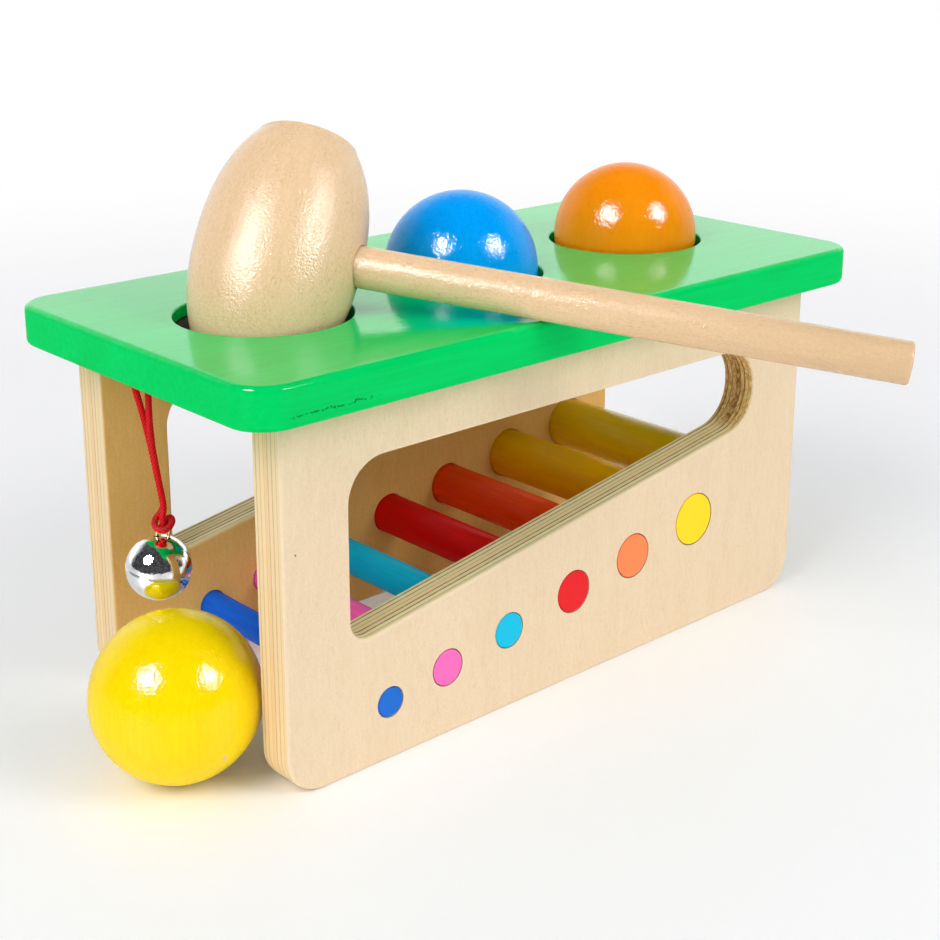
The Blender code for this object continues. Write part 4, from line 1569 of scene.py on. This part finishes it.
@dataclass
class RampRods:
    """The seven painted rods of the ramp."""

    end_round: float = 0.0002
    steps: int = 72
    gloss: float = 0.35
    end_rod_gloss: float = 1.0
    coat: dict = field(
        default_factory=lambda: {
            "gloss_roughness": 0.25,
            "peel": 0.00005,
            "grain": Grain.ALONG_Y,
            "grain_scale": 1300.0,
            "grain_depth": 0.3,
        }
    )
    paints: dict = field(
        default_factory=lambda: {
            "rod_blue": (srgb(22, 108, 236), srgb(10, 90, 222), srgb(28, 110, 210)),
            "rod_pink": (srgb(248, 104, 186), srgb(240, 82, 172), srgb(248, 114, 192)),
            "rod_light_blue": (srgb(0, 194, 240), srgb(0, 178, 226), srgb(18, 198, 236)),
            "rod_red": (srgb(234, 14, 14), srgb(218, 2, 6), srgb(238, 36, 42)),
            "rod_orange": (srgb(255, 78, 20), srgb(244, 62, 10), srgb(255, 144, 88)),
            # rod_yellow's sides are painted oranger than rod_end's, though both take the same
            # end colour: painted warm bounce light from the orange rod and the wood.
            "rod_yellow": (srgb(252, 186, 4), srgb(242, 170, 0), srgb(255, 226, 40)),
            "rod_end": (srgb(252, 212, 8), srgb(242, 196, 0), srgb(255, 226, 40)),
        }
    )

    def build(self, shop: Workshop) -> None:
        """Makes the rods.

        Args:
            shop: Where pieces are finished.
        """
        for node, (light, deep, end_grain) in self.paints.items():
            low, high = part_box(node)
            middle = (low + high) / 2
            radius = (high.z - low.z) / 2
            start = Vector((middle.x, low.y, middle.z))
            end = Vector((middle.x, high.y, middle.z))
            shape = rod_shape(radius, start, end, self.steps, self.end_round)
            gloss = self.end_rod_gloss if node == "rod_end" else self.gloss
            paint = PaintedWood(
                light=light, deep=deep, end=end_grain, gloss=gloss, **self.coat
            )
            material = paint.material(f"{node}_paint", shop.effects, middle)
            shop.piece(node.replace("rod", "ramp_rod"), shape, material, Body.BENCH, node)


@dataclass
class Balls:
    """The three turned and painted balls."""

    parting: float = 0.0016
    rows: int = 40
    steps: int = 80
    paints: dict = field(
        default_factory=lambda: {
            Body.BLUE: (srgb(0, 168, 255), srgb(0, 156, 250), (0.5, 0.2, 0.84)),
            Body.ORANGE: (srgb(255, 152, 18), srgb(255, 142, 6), (-0.2, 0.5, 0.84)),
            Body.YELLOW: (srgb(255, 224, 6), srgb(252, 214, 0), (0.8, 0.3, 0.5)),
        }
    )
    coat: dict = field(
        default_factory=lambda: {
            "gloss": 0.6,
            "grain": Grain.ALONG_Z,
            "grain_scale": 900.0,
            "grain_depth": 0.2,
        }
    )
    chip: Colour = srgb(236, 196, 190)
    chip_place: tuple = (0.0006, -0.0212, -0.0101)

    def build(self, shop: Workshop) -> None:
        """Makes the balls.

        Args:
            shop: Where pieces are finished.
        """
        for body, (light, deep, grain) in self.paints.items():
            node = body.value
            low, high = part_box(node)
            middle = (low + high) / 2
            radius = (high.z - low.z) / 2
            lift = math.degrees(math.asin(self.parting / radius))
            side = arc((0, 0), radius, 90 - lift, lift - 90, self.rows)
            profile = [(0.0, side[0][1]), *side, (0.0, side[-1][1])]
            shape = turned_shape(profile, self.steps)
            turn = Vector(grain).to_track_quat("Z", "Y").to_matrix().to_4x4()
            bmesh.ops.transform(
                shape, matrix=Matrix.Translation(middle) @ turn, verts=shape.verts
            )
            finish = {"light": light, "deep": deep, **self.coat}
            if body is Body.YELLOW:
                paint = BallPaint(**finish, chip=self.chip, chip_place=self.chip_place)
            else:
                paint = PaintedWood(**finish)
            material = paint.material(f"{node}_paint", shop.effects, middle)
            shop.piece(f"{node}_turned", shape, material, body, node)


@dataclass
class Mallet:
    """The barrel-shaped head and its rod handle, leaning in the first hole."""

    offset: Vector = field(default_factory=lambda: Vector((-0.067623, 0.001401, 0.134342)))
    direction: Vector = field(default_factory=lambda: Vector((0.58547, -0.80082, -0.12617)))
    axis: Vector = field(default_factory=lambda: Vector((0.51567, 0.24778, 0.82018)))
    head_length: float = 0.0678
    head_diameter: float = 0.0471
    end_round: float = 0.0010
    length_share: float = 1.2035
    power: float = 2.2
    handle_diameter: float = 0.0118
    reach: float = 0.1733
    tenon: float = 0.0120
    handle_round: float = 0.0007
    rim_angle: float = 24.0
    rows: int = 56
    steps: int = 112
    handle_steps: int = 64
    beech: LacqueredBeech = LacqueredBeech()
    far_end_darkened: LacqueredBeech = LacqueredBeech(far_end_share=0.55)

    def middle(self) -> Vector:
        """The middle of the head."""
        return bench_middle() + self.offset

    def radius_at(self, along: float) -> float:
        """The head's radius at a distance from its middle."""
        long_half = self.length_share * self.head_length / 2
        return self.head_diameter / 2 * math.sqrt(1 - (abs(along) / long_half) ** self.power)

    def head_profile(self) -> list[tuple[float, float]]:
        """Goes down the head's side, from its top face to its low one.

        Returns:
            (radius, height) pairs.
        """
        half, rounding = self.head_length / 2, self.end_round
        straight = half - rounding
        side = [straight - 2 * straight * k / self.rows for k in range(self.rows + 1)]
        wall = self.radius_at(straight)
        rim = arc((wall - rounding, straight), rounding, 90, self.rim_angle, 4)
        upper = [(0.0, half), (wall - rounding - SUPPORT, half), *rim]
        lower = [(x, -y) for x, y in reversed(upper)]
        return [*upper, *[(self.radius_at(z), z) for z in side], *lower]

    def build(self, shop: Workshop) -> None:
        """Makes the head with its socket, and the handle in it.

        Args:
            shop: Where pieces are finished.
        """
        middle, radius = self.middle(), self.handle_diameter / 2
        head = turned_shape(self.head_profile(), self.steps)
        across = self.direction.cross(self.axis)
        turn = Matrix((self.direction, -across, self.axis)).transposed().to_4x4()
        place = Matrix.Translation(middle) @ turn
        bmesh.ops.transform(head, matrix=place, verts=head.verts)
        bottom = middle - self.direction * (self.tenon + GAP)
        beyond = middle + self.direction * self.head_diameter
        socket = rod_shape(radius + GAP, bottom, beyond, self.handle_steps, 0)
        head = shop.carved(head, [socket])
        material = self.beech.material("head_beech", shop.effects, middle, self.axis)
        shop.piece("mallet_head_turned", head, material, Body.MALLET, "mallet_head")
        start = middle - self.direction * self.tenon
        end = middle + self.direction * self.reach
        handle = rod_shape(radius, start, end, self.handle_steps, self.handle_round)
        material = self.far_end_darkened.material("handle_beech", shop.effects, middle, self.direction)
        shop.piece("mallet_handle_turned", handle, material, Body.MALLET, "mallet_handle")


@dataclass
class Bell:
    """The plated bell: two shells, their wire loop, and the pellet inside."""

    diameter: float = 0.0182
    wall: float = 0.0007
    lean: float = math.radians(9.0)
    cord_turn: float = math.radians(-42.2)
    inset: float = 0.0082
    height: float = 0.0533
    wire: float = 0.0009
    loop_width: float = 0.0041
    loop_rise: float = 0.0040
    loop_foot: float = 0.0013
    slot_width: float = 0.0012
    slot_hole: float = 0.0024
    slot_spread: float = math.radians(33.0)
    pellet: float = 0.0045
    rim: float = 0.00016
    bead: float = 0.00036
    bead_angles: tuple = (70.0, -100.0)
    cut_reach: float = 1.3
    steps: int = 96
    outer_rows: int = 28
    inner_rows: int = 20
    bead_rows: int = 8
    crown_steps: int = 16
    wire_resolution: int = 5
    pellet_rows: int = 18
    pellet_steps: int = 36
    hole_steps: int = 24
    slot_steps: int = 32
    plating: Metal = Metal(srgb(244, 245, 246), srgb(226, 227, 228), 0.03, 0.45)
    brass: Metal = Metal(srgb(226, 200, 132), srgb(190, 160, 96), 0.12)
    steel: Metal = Metal(srgb(190, 190, 190), srgb(140, 138, 134), 0.25)

    def middle(self) -> Vector:
        """The bell's middle."""
        return Vector((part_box("top_board")[0].x + self.inset, bench_middle().y, self.height))

    def across(self) -> Vector:
        """The level direction in the plane of the cord's two strands."""
        return Vector((math.cos(self.cord_turn), math.sin(self.cord_turn), 0))

    def front(self) -> Vector:
        """The level direction square to that plane, towards the open end."""
        return self.across().cross(Vector((0, 0, 1)))

    def up(self) -> Vector:
        """The leaning bell's axis."""
        return math.cos(self.lean) * Vector((0, 0, 1)) + math.sin(self.lean) * self.across()

    def place(self) -> Matrix:
        """The bell's own place and turn.

        Returns:
            The matrix that takes the bell's own frame to the bench's.
        """
        front = self.front()
        side = self.up().cross(front)
        turn = Matrix((side, -front, self.up())).transposed().to_4x4()
        return Matrix.Translation(self.middle()) @ turn

    def shell(self, sign: int) -> bmesh.types.BMesh:
        """Turns one half shell.

        Args:
            sign: 1 for the upper one, which has a rolled rim, and -1 for the lower one.

        Returns:
            The shell, about the bell's middle.
        """
        outer, inner, rim = self.diameter / 2, self.diameter / 2 - self.wall, self.rim
        lift = GAP / 2
        start = math.degrees(math.asin((lift + rim) / outer))
        outside = arc((0, 0), outer, 90, start, self.outer_rows)
        inside = arc((0, 0), inner, start, 90, self.inner_rows)
        edge = [(outer - rim, lift), (inner + rim, lift)]
        if sign > 0:
            middle = (outer - self.bead / 3, 0)
            bead = arc(middle, self.bead / 2, *self.bead_angles, self.bead_rows)
            edge = [*bead, (inner + rim, -lift / 2)]
        profile = [(max(radius, 0.0), z * sign) for radius, z in [*outside, *edge, *inside]]
        profile[0] = (0.0, profile[0][1])
        profile[-1] = (0.0, profile[-1][1])
        return turned_shape(profile, self.steps)

    def wire_path(self) -> list[Vector]:
        """The loop's centre line, from one splayed foot to the other.

        Returns:
            Its points in the bell's own frame.
        """
        half = (self.loop_width - self.wire) / 2
        inner = self.diameter / 2 - self.wall
        top = self.diameter / 2 + self.loop_rise - self.wire / 2
        under = self.wire + GAP + GAP
        foot_x = half + self.loop_foot
        leg_z = math.sqrt(inner**2 - half**2) - under
        foot_z = math.sqrt(inner**2 - foot_x**2) - under
        shoulder = top - half
        side = [(foot_x, foot_z), (half, leg_z), (half, leg_z + under), (half, shoulder)]
        crown = arc((0, shoulder), half, 0, 180, self.crown_steps)[1:-1]
        mirrored = [(-x, z) for x, z in reversed(side)]
        return [Vector((x, 0, z)) for x, z in [*side, *crown, *mirrored]]

    def build(self, shop: Workshop) -> None:
        """Makes the bell.

        Args:
            shop: Where pieces are finished.
        """
        chrome = self.plating.material("bright_plating", shop.effects)
        for node, sign, tools in (
            ("bell_upper_shell", 1, self.wire_holes()),
            ("bell_lower_shell", -1, self.sound_slot()),
        ):
            shape = shop.carved(self.shell(sign), tools)
            bmesh.ops.transform(shape, matrix=self.place(), verts=shape.verts)
            shop.piece(node.replace("bell", "plated"), shape, chrome, Body.BELL, node)
        path = [self.place() @ point for point in self.wire_path()]
        mesh = tube_mesh("wire_loop", path, self.wire, self.wire_resolution)
        brass = self.brass.material("brass_wire", shop.effects)
        shop.finish("wire_loop", mesh, brass, Body.BELL, "bell_loop")
        steel = self.steel.material("pellet_steel", shop.effects)
        side = arc((0, 0), self.pellet / 2, 90, -90, self.pellet_rows)
        profile = [(0.0, side[0][1]), *side[1:-1], (0.0, side[-1][1])]
        ball = turned_shape(profile, self.pellet_steps)
        bmesh.ops.translate(ball, vec=box_middle("bell_pellet"), verts=ball.verts)
        shop.piece("pellet_ball", ball, steel, Body.PELLET, "bell_pellet")

    def wire_holes(self) -> list[bmesh.types.BMesh]:
        """The two drills for the loop's legs.

        Returns:
            Their shapes, about the bell's middle.
        """
        near, far = self.diameter / 4, self.diameter / 2 * self.cut_reach
        half, radius = (self.loop_width - self.wire) / 2, self.wire / 2 + GAP
        return [
            rod_shape(radius, Vector((x, 0, near)), Vector((x, 0, far)), self.hole_steps, 0)
            for x in (-half, half)
        ]

    def sound_slot(self) -> list[bmesh.types.BMesh]:
        """The cutters for the slot with its round ends.

        Returns:
            Their shapes, about the bell's middle.
        """
        outer, near = self.diameter / 2, self.diameter / 4
        spread, low = outer * math.sin(self.slot_spread), -outer * self.cut_reach
        radius = self.slot_hole / 2
        ends = [
            rod_shape(radius, Vector((x, 0, low)), Vector((x, 0, -near)), self.slot_steps, 0)
            for x in (-spread, spread)
        ]
        strip = bmesh.new()
        bmesh.ops.create_cube(strip, size=1)
        bmesh.ops.scale(strip, vec=(2 * spread, self.slot_width, outer), verts=strip.verts)
        bmesh.ops.translate(strip, vec=(0, 0, -near - outer / 2), verts=strip.verts)
        return [*ends, strip]


def tube_mesh(
    name: str, path: Sequence[Vector], diameter: float, resolution: int
) -> bpy.types.Mesh:
    """A round wire or cord along a path, as a mesh with its own map.

    Args:
        name: The mesh's name.
        path: The centre line's points.
        diameter: The tube's diameter.
        resolution: How finely it is rounded.

    Returns:
        The mesh.
    """
    curve = bpy.data.curves.new(name, "CURVE")
    curve.dimensions = "3D"
    curve.bevel_depth = diameter / 2
    curve.bevel_resolution = resolution
    curve.use_fill_caps = True
    spline = curve.splines.new("POLY")
    spline.points.add(len(path) - 1)
    for point, place in zip(spline.points, path):
        point.co = (*place, 1)
    guide = bpy.data.objects.new(name, curve)
    bpy.context.scene.collection.objects.link(guide)
    graph = bpy.context.evaluated_depsgraph_get()
    mesh = bpy.data.meshes.new_from_object(guide.evaluated_get(graph))
    bpy.data.objects.remove(guide, do_unlink=True)
    bpy.data.curves.remove(curve)
    mesh.name = name
    return mesh


@dataclass
class HangingCord:
    """The red cord: down from its plug to the bell's loop, hitched round it, and back up.

    The rows are across the cord's plane, towards the open end, and up. The first and last
    two are from the plug's low end, the knot's from the middle of the loop's top wire, and
    between them the third value is the share of the drop from one to the other.
    """

    bell: Bell
    diameter: float = 0.0018
    inset: float = 0.0056
    relief: float = 0.00012
    seat: float = 0.6
    bend: float = 0.007
    fine: int = 12
    spacing: float = 0.00022
    roundness: int = 10
    braid: BraidedCord = BraidedCord()
    start: tuple = ((0.00185, 0.0, 0.0052), (0.00185, 0.0, 0.0018))
    fall: tuple = (
        (0.00180, 0.0001, 0.036),
        (0.00100, 0.0006, 0.217),
        (0.00055, 0.0011, 0.435),
        (0.00075, 0.0013, 0.640),
    )
    knot: tuple = (
        (0.00030, 0.0013, 0.0062),
        (0.0, 0.0015, 0.0030),
        (0.0, 0.00158, 0.0002),
        (0.0, 0.00115, -0.0011),
        (0.0, 0.0, -0.00160),
        (0.0, -0.00115, -0.0011),
        (0.0001, -0.0016, 0.0002),
        (0.0009, -0.0015, 0.0013),
        (0.00195, -0.0006, 0.0016),
        (0.00235, 0.0009, 0.0011),
        (0.0017, 0.0027, 0.0002),
        (0.0, 0.00355, -0.0002),
        (-0.0017, 0.0027, 0.0002),
        (-0.00235, 0.0009, 0.0010),
        (-0.0020, -0.0006, 0.0019),
        (-0.0011, -0.0014, 0.0031),
        (-0.0003, -0.0012, 0.0046),
        (-0.0002, -0.0010, 0.0064),
    )
    rise: tuple = (
        (0.00010, -0.0008, 0.640),
        (-0.00035, -0.0011, 0.435),
        (-0.00110, -0.0009, 0.217),
        (-0.00180, -0.0002, 0.036),
    )
    end: tuple = ((-0.00185, 0.0, 0.0018), (-0.00185, 0.0, 0.0052))

    def exit(self) -> Vector:
        """The middle of the plug's low end, where the cord leaves the board."""
        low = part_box("top_board")[0]
        return Vector((low.x + self.inset, bench_middle().y, low.z))

    def knots(self) -> list[Vector]:
        """Works out where the rows are.

        Returns:
            Their points.
        """
        across, front, up = self.bell.across(), self.bell.front(), Vector((0, 0, 1))
        leave = self.exit()
        reach = self.bell.diameter / 2 + self.bell.loop_rise - self.bell.wire / 2
        wire = self.bell.middle() + self.bell.up() * reach

        def near(anchor: Vector, rows: tuple) -> list[Vector]:
            """Rows measured from one point."""
            return [anchor + across * a + front * f + up * u for a, f, u in rows]

        def hanging(rows: tuple) -> list[Vector]:
            """Rows between the plug and the wire."""
            return [leave.lerp(wire, share) + across * a + front * f for a, f, share in rows]

        return [
            *near(leave, self.start),
            *hanging(self.fall),
            *near(wire, self.knot),
            *hanging(self.rise),
            *near(leave, self.end),
        ]

    def route(self, fine: int) -> list[Vector]:
        """Draws a smooth line through the rows.

        Args:
            fine: How many points each stretch between two rows has.

        Returns:
            The line's points.
        """
        rows = self.knots()
        ends = [2 * rows[0] - rows[1], *rows, 2 * rows[-1] - rows[-2]]
        line = []
        for i in range(1, len(ends) - 2):
            before, first, second, after = ends[i - 1 : i + 3]
            pull = second - before
            bend = 2 * before - 5 * first + 4 * second - after
            twist = 3 * first - before - 3 * second + after
            for t in (k / fine for k in range(fine)):
                line.append(first + (pull * t + bend * t**2 + twist * t**3) / 2)
        return [*line, rows[-1]]

    def even(self, line: Sequence[Vector], spacing: float) -> list[Vector]:
        """Sets a line's points again at an even spacing.

        Args:
            line: The points.
            spacing: How far apart they are set.

        Returns:
            The new points.
        """
        total = sum((b - a).length for a, b in zip(line, line[1:]))
        count = round(total / spacing)
        points, walked, i = [line[0].copy()], 0.0, 0
        for k in range(1, count):
            target = total * k / count
            while walked + (line[i + 1] - line[i]).length < target:
                walked += (line[i + 1] - line[i]).length
                i += 1
            stretch = (line[i + 1] - line[i]).length
            points.append(line[i].lerp(line[i + 1], (target - walked) / stretch))
        return [*points, line[-1].copy()]

    def build(self, shop: Workshop) -> None:
        """Args:
            shop: Where pieces are finished.
        """
        path = self.even(self.route(self.fine), self.spacing)
        length = sum((b - a).length for a, b in zip(path, path[1:]))
        mesh = tube_mesh("bell_cord_braid", path, self.diameter, self.roundness)
        self.raise_yarns(mesh, length)
        material = self.braid.material("red_braid", shop.effects, length)
        leave = self.exit()
        bend = (leave, leave - Vector((0, 0, self.bend)))
        cord = shop.finish("bell_cord_braid", mesh, material, Body.BELL, "bell_cord", bend)
        log.info("cord: %.1f mm long", length * 1000)

    def raise_yarns(self, mesh: bpy.types.Mesh, length: float) -> None:
        """Lifts the yarns of the braid out of a tube, by the tube's own map.

        Args:
            mesh: The tube, whose map runs along it and then round it.
            length: The cord's length.
        """
        uv = mesh.uv_layers["UVMap"].data
        places = {}
        for loop in mesh.loops:
            places.setdefault(loop.vertex_index, uv[loop.index].uv.copy())
        turns = self.braid.turns(length)
        normals = [vert.normal.copy() for vert in mesh.vertices]
        for vert, normal in zip(mesh.vertices, normals):
            along, around = places[vert.index]
            turn, run = around * self.braid.yarns * math.tau, along * turns * math.tau
            yarn = abs(math.cos(turn + run) * math.cos(turn - run)) ** 0.5
            vert.co += normal * self.relief * (yarn - self.seat)


@dataclass
class Joinery:
    """The hidden dowels and the cord's plug, kept from the frame."""

    def build(self, shop: Workshop) -> None:
        """Dresses them in raw beech.

        Args:
            shop: Where pieces are finished.
        """
        raw = LacqueredBeech(
            light=srgb(226, 188, 140), deep=srgb(206, 164, 116), roughness=0.6
        )
        material = raw.material("raw_beech", shop.effects, Vector(), Vector((0, 0, 1)))
        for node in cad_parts:
            if node.startswith("dowel_") or node == "cord_plug":
                shop.dress(node, material)


@dataclass
class Studio:
    """The pale floor, the two soft lamps, the room's light and the camera."""

    camera_place: Vector = field(default_factory=lambda: Vector((-0.3347, -0.3699, 0.2366)))
    look: Vector = field(default_factory=lambda: Vector((0.6451, 0.7121, -0.2773)))
    right: Vector = field(default_factory=lambda: Vector((0.7411, -0.6714, 0.0)))
    lens: float = 64.09
    sensor: float = 36.0
    shift: tuple = (0.00654, -0.1248)
    lamp_distance: float = 2.4
    aim_height: float = 0.1
    lamp_radiance: float = 5.35
    sparkle_radiance: float = 88.0
    sparkle_lead: float = 0.05
    lamps: tuple = (
        ("left_softbox", (-0.759, -0.114, 0.639), 1.28, 1.06),
        ("front_softbox", (0.315, -0.760, 0.570), 1.12, 0.84),
    )
    ahead: tuple = (0.671, 0.741, 0.0)
    fill: float = 0.55
    backdrop: float = 1.35
    behind: Colour = srgb(34, 34, 36)
    behind_pale: Colour = srgb(96, 96, 98)
    floor_reach: float = 8.0
    floor_cool: Colour = srgb(238, 238, 242)
    floor_warm: Colour = srgb(241, 241, 241)
    floor_seen: Colour = srgb(252, 252, 254)
    floor_lift: float = 0.13
    floor_far: tuple = (0.25, 0.9)
    floor_ahead: tuple = (0.1, 0.9)
    floor_tint_scale: float = 6.0
    floor_steps: int = 96
    # Round this nook, between the lying ball and the front panel, the floor gets no camera-seen
    # lift, so it stays darker where shade falls: painted shade.
    nook: tuple = (-0.088, 0.018, 0.0)
    nook_reach: tuple = (0.01, 0.05)
    backdrop_side: tuple = (0.05, 0.45)
    backdrop_top: tuple = (0.35, 0.8)
    clutter_scale: float = 11.0
    fill_blue: float = 1.03

    def build_camera(self) -> None:
        """Places the camera where the photograph was taken."""
        data = bpy.data.cameras.new("camera")
        data.lens, data.sensor_width = self.lens, self.sensor
        data.shift_x, data.shift_y = self.shift
        data.clip_start = 0.01
        camera = bpy.data.objects.new("camera", data)
        look, right = self.look.normalized(), self.right.normalized()
        turn = Matrix((right, right.cross(look), -look)).transposed().to_4x4()
        camera.matrix_world = Matrix.Translation(bench_middle() + self.camera_place) @ turn
        bpy.context.scene.collection.objects.link(camera)
        bpy.context.scene.camera = camera

    def build_floor(self) -> None:
        """Lays the floor, which goes to plain white far from the bench."""
        shape = bmesh.new()
        bmesh.ops.create_circle(
            shape, cap_ends=True, segments=self.floor_steps, radius=self.floor_reach
        )
        mesh = bpy.data.meshes.new("floor")
        shape.to_mesh(mesh)
        shape.free()
        floor = bpy.data.objects.new("floor", mesh)
        bpy.context.scene.collection.objects.link(floor)
        material, wires, shader = blank_material("pale_floor")
        place = wires.place()
        light = wires.add("ShaderNodeLightPath").outputs
        seen = light["Is Camera Ray"]
        clouds = wires.noise(place, self.floor_tint_scale)
        tint = wires.mix(clouds, self.floor_cool, self.floor_warm)
        wires.feed(shader.inputs["Base Color"], wires.mix(seen, tint, self.floor_seen))
        shader.inputs["Roughness"].default_value = 0.5
        far = wires.step(wires.vector("LENGTH", place), *self.floor_far)
        way = wires.vector("DOT_PRODUCT", place, self.ahead)
        ahead = wires.step(way, *self.floor_ahead)
        shown = wires.sum("MAXIMUM", seen, wires.times(light["Is Glossy Ray"], ahead))
        # No lift near the nook, so the floor stays darker where shade falls there: painted
        # shade.
        nook = wires.vector("LENGTH", wires.vector("SUBTRACT", place, self.nook))
        lift = wires.between(wires.step(nook, *self.nook_reach), 0.0, self.floor_lift)
        share = wires.sum("MAXIMUM", wires.times(far, shown), wires.times(seen, lift))
        white = wires.add("ShaderNodeEmission", {"Color": WHITE, "Strength": 1.0})
        blend = wires.add("ShaderNodeMixShader", {0: share})
        wires.feed(blend.inputs[1], shader.outputs[0])
        wires.feed(blend.inputs[2], white.outputs[0])
        sink = material.node_tree.nodes["Material Output"]
        wires.feed(sink.inputs["Surface"], blend.outputs[0])
        mesh.materials.append(material)

    def build_lamps(self) -> None:
        """Hangs the two soft lamps, each facing the bench."""
        for name, direction, size, gleam_size in self.lamps:
            plain = self.build_lamp(name, direction, size, self.lamp_radiance, 0.0)
            plain.visible_glossy = False
            gleam = self.build_lamp(
                f"{name}_gleam", direction, gleam_size, self.sparkle_radiance, self.sparkle_lead
            )
            gleam.visible_diffuse = False

    def build_lamp(
        self, name: str, direction: Sequence[float], size: float, radiance: float, lead: float
    ) -> bpy.types.Object:
        """Hangs one round lamp.

        Args:
            name: Its name.
            direction: Where it hangs, from the bench.
            size: Its diameter.
            radiance: How bright its face is; white paper in full light is 1.
            lead: How much nearer the bench it hangs than the plain lamps.

        Returns:
            The lamp.
        """
        data = bpy.data.lights.new(name, "AREA")
        data.shape = "DISK"
        data.size = size
        data.energy = radiance * math.pi**2 * size**2 / 4
        lamp = bpy.data.objects.new(name, data)
        towards = Vector(direction).normalized()
        turn = towards.to_track_quat("Z", "Y").to_matrix().to_4x4()
        away = towards * (self.lamp_distance - lead)
        aim = bench_middle() + Vector((0, 0, self.aim_height))
        lamp.matrix_world = Matrix.Translation(aim + away) @ turn
        lamp.visible_camera = False
        bpy.context.scene.collection.objects.link(lamp)
        return lamp

    def build_room(self) -> None:
        """Lights the room: white backdrop ahead, darker behind the camera, white when seen."""
        world = bpy.data.worlds.new("studio")
        bpy.context.scene.world = world
        world.use_nodes = True
        wires = Wiring(world.node_tree)
        back = world.node_tree.nodes["Background"]
        way = wires.add("ShaderNodeTexCoord").outputs["Generated"]
        front = wires.vector("DOT_PRODUCT", way, self.ahead)
        front = wires.step(front, *self.backdrop_side)
        low = wires.rest(wires.step(wires.parts(way)[2], *self.backdrop_top))
        bright = (self.backdrop, self.backdrop, self.backdrop, 1.0)
        clutter = wires.noise(way, self.clutter_scale, detail=3.0, rough=0.7)
        clutter = wires.step(clutter, 0.35, 0.65)
        room = wires.mix(clutter, self.behind, self.behind_pale)
        mirrored = wires.mix(wires.times(front, low), room, bright)
        light = wires.add("ShaderNodeLightPath").outputs
        fill = (self.fill, self.fill, self.fill * self.fill_blue, 1.0)
        colour = wires.mix(light["Is Glossy Ray"], fill, mirrored)
        wires.feed(back.inputs["Color"], wires.mix(light["Is Camera Ray"], colour, WHITE))
        back.inputs["Strength"].default_value = 1.0


def main() -> None:
    """Builds the bench piece by piece, then the studio round it."""
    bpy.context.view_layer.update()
    studio = Studio()
    studio.build_camera()
    shop = Workshop()
    bell = Bell()
    HangingCord(bell).build(shop)
    bell.build(shop)
    TopBoard().build(shop)
    SidePanels().build(shop)
    RampRods().build(shop)
    Balls().build(shop)
    Mallet().build(shop)
    Joinery().build(shop)
    studio.build_floor()
    studio.build_lamps()
    studio.build_room()
    bpy.context.scene.view_settings.view_transform = "Standard"


if __name__ == "__main__":
    main()
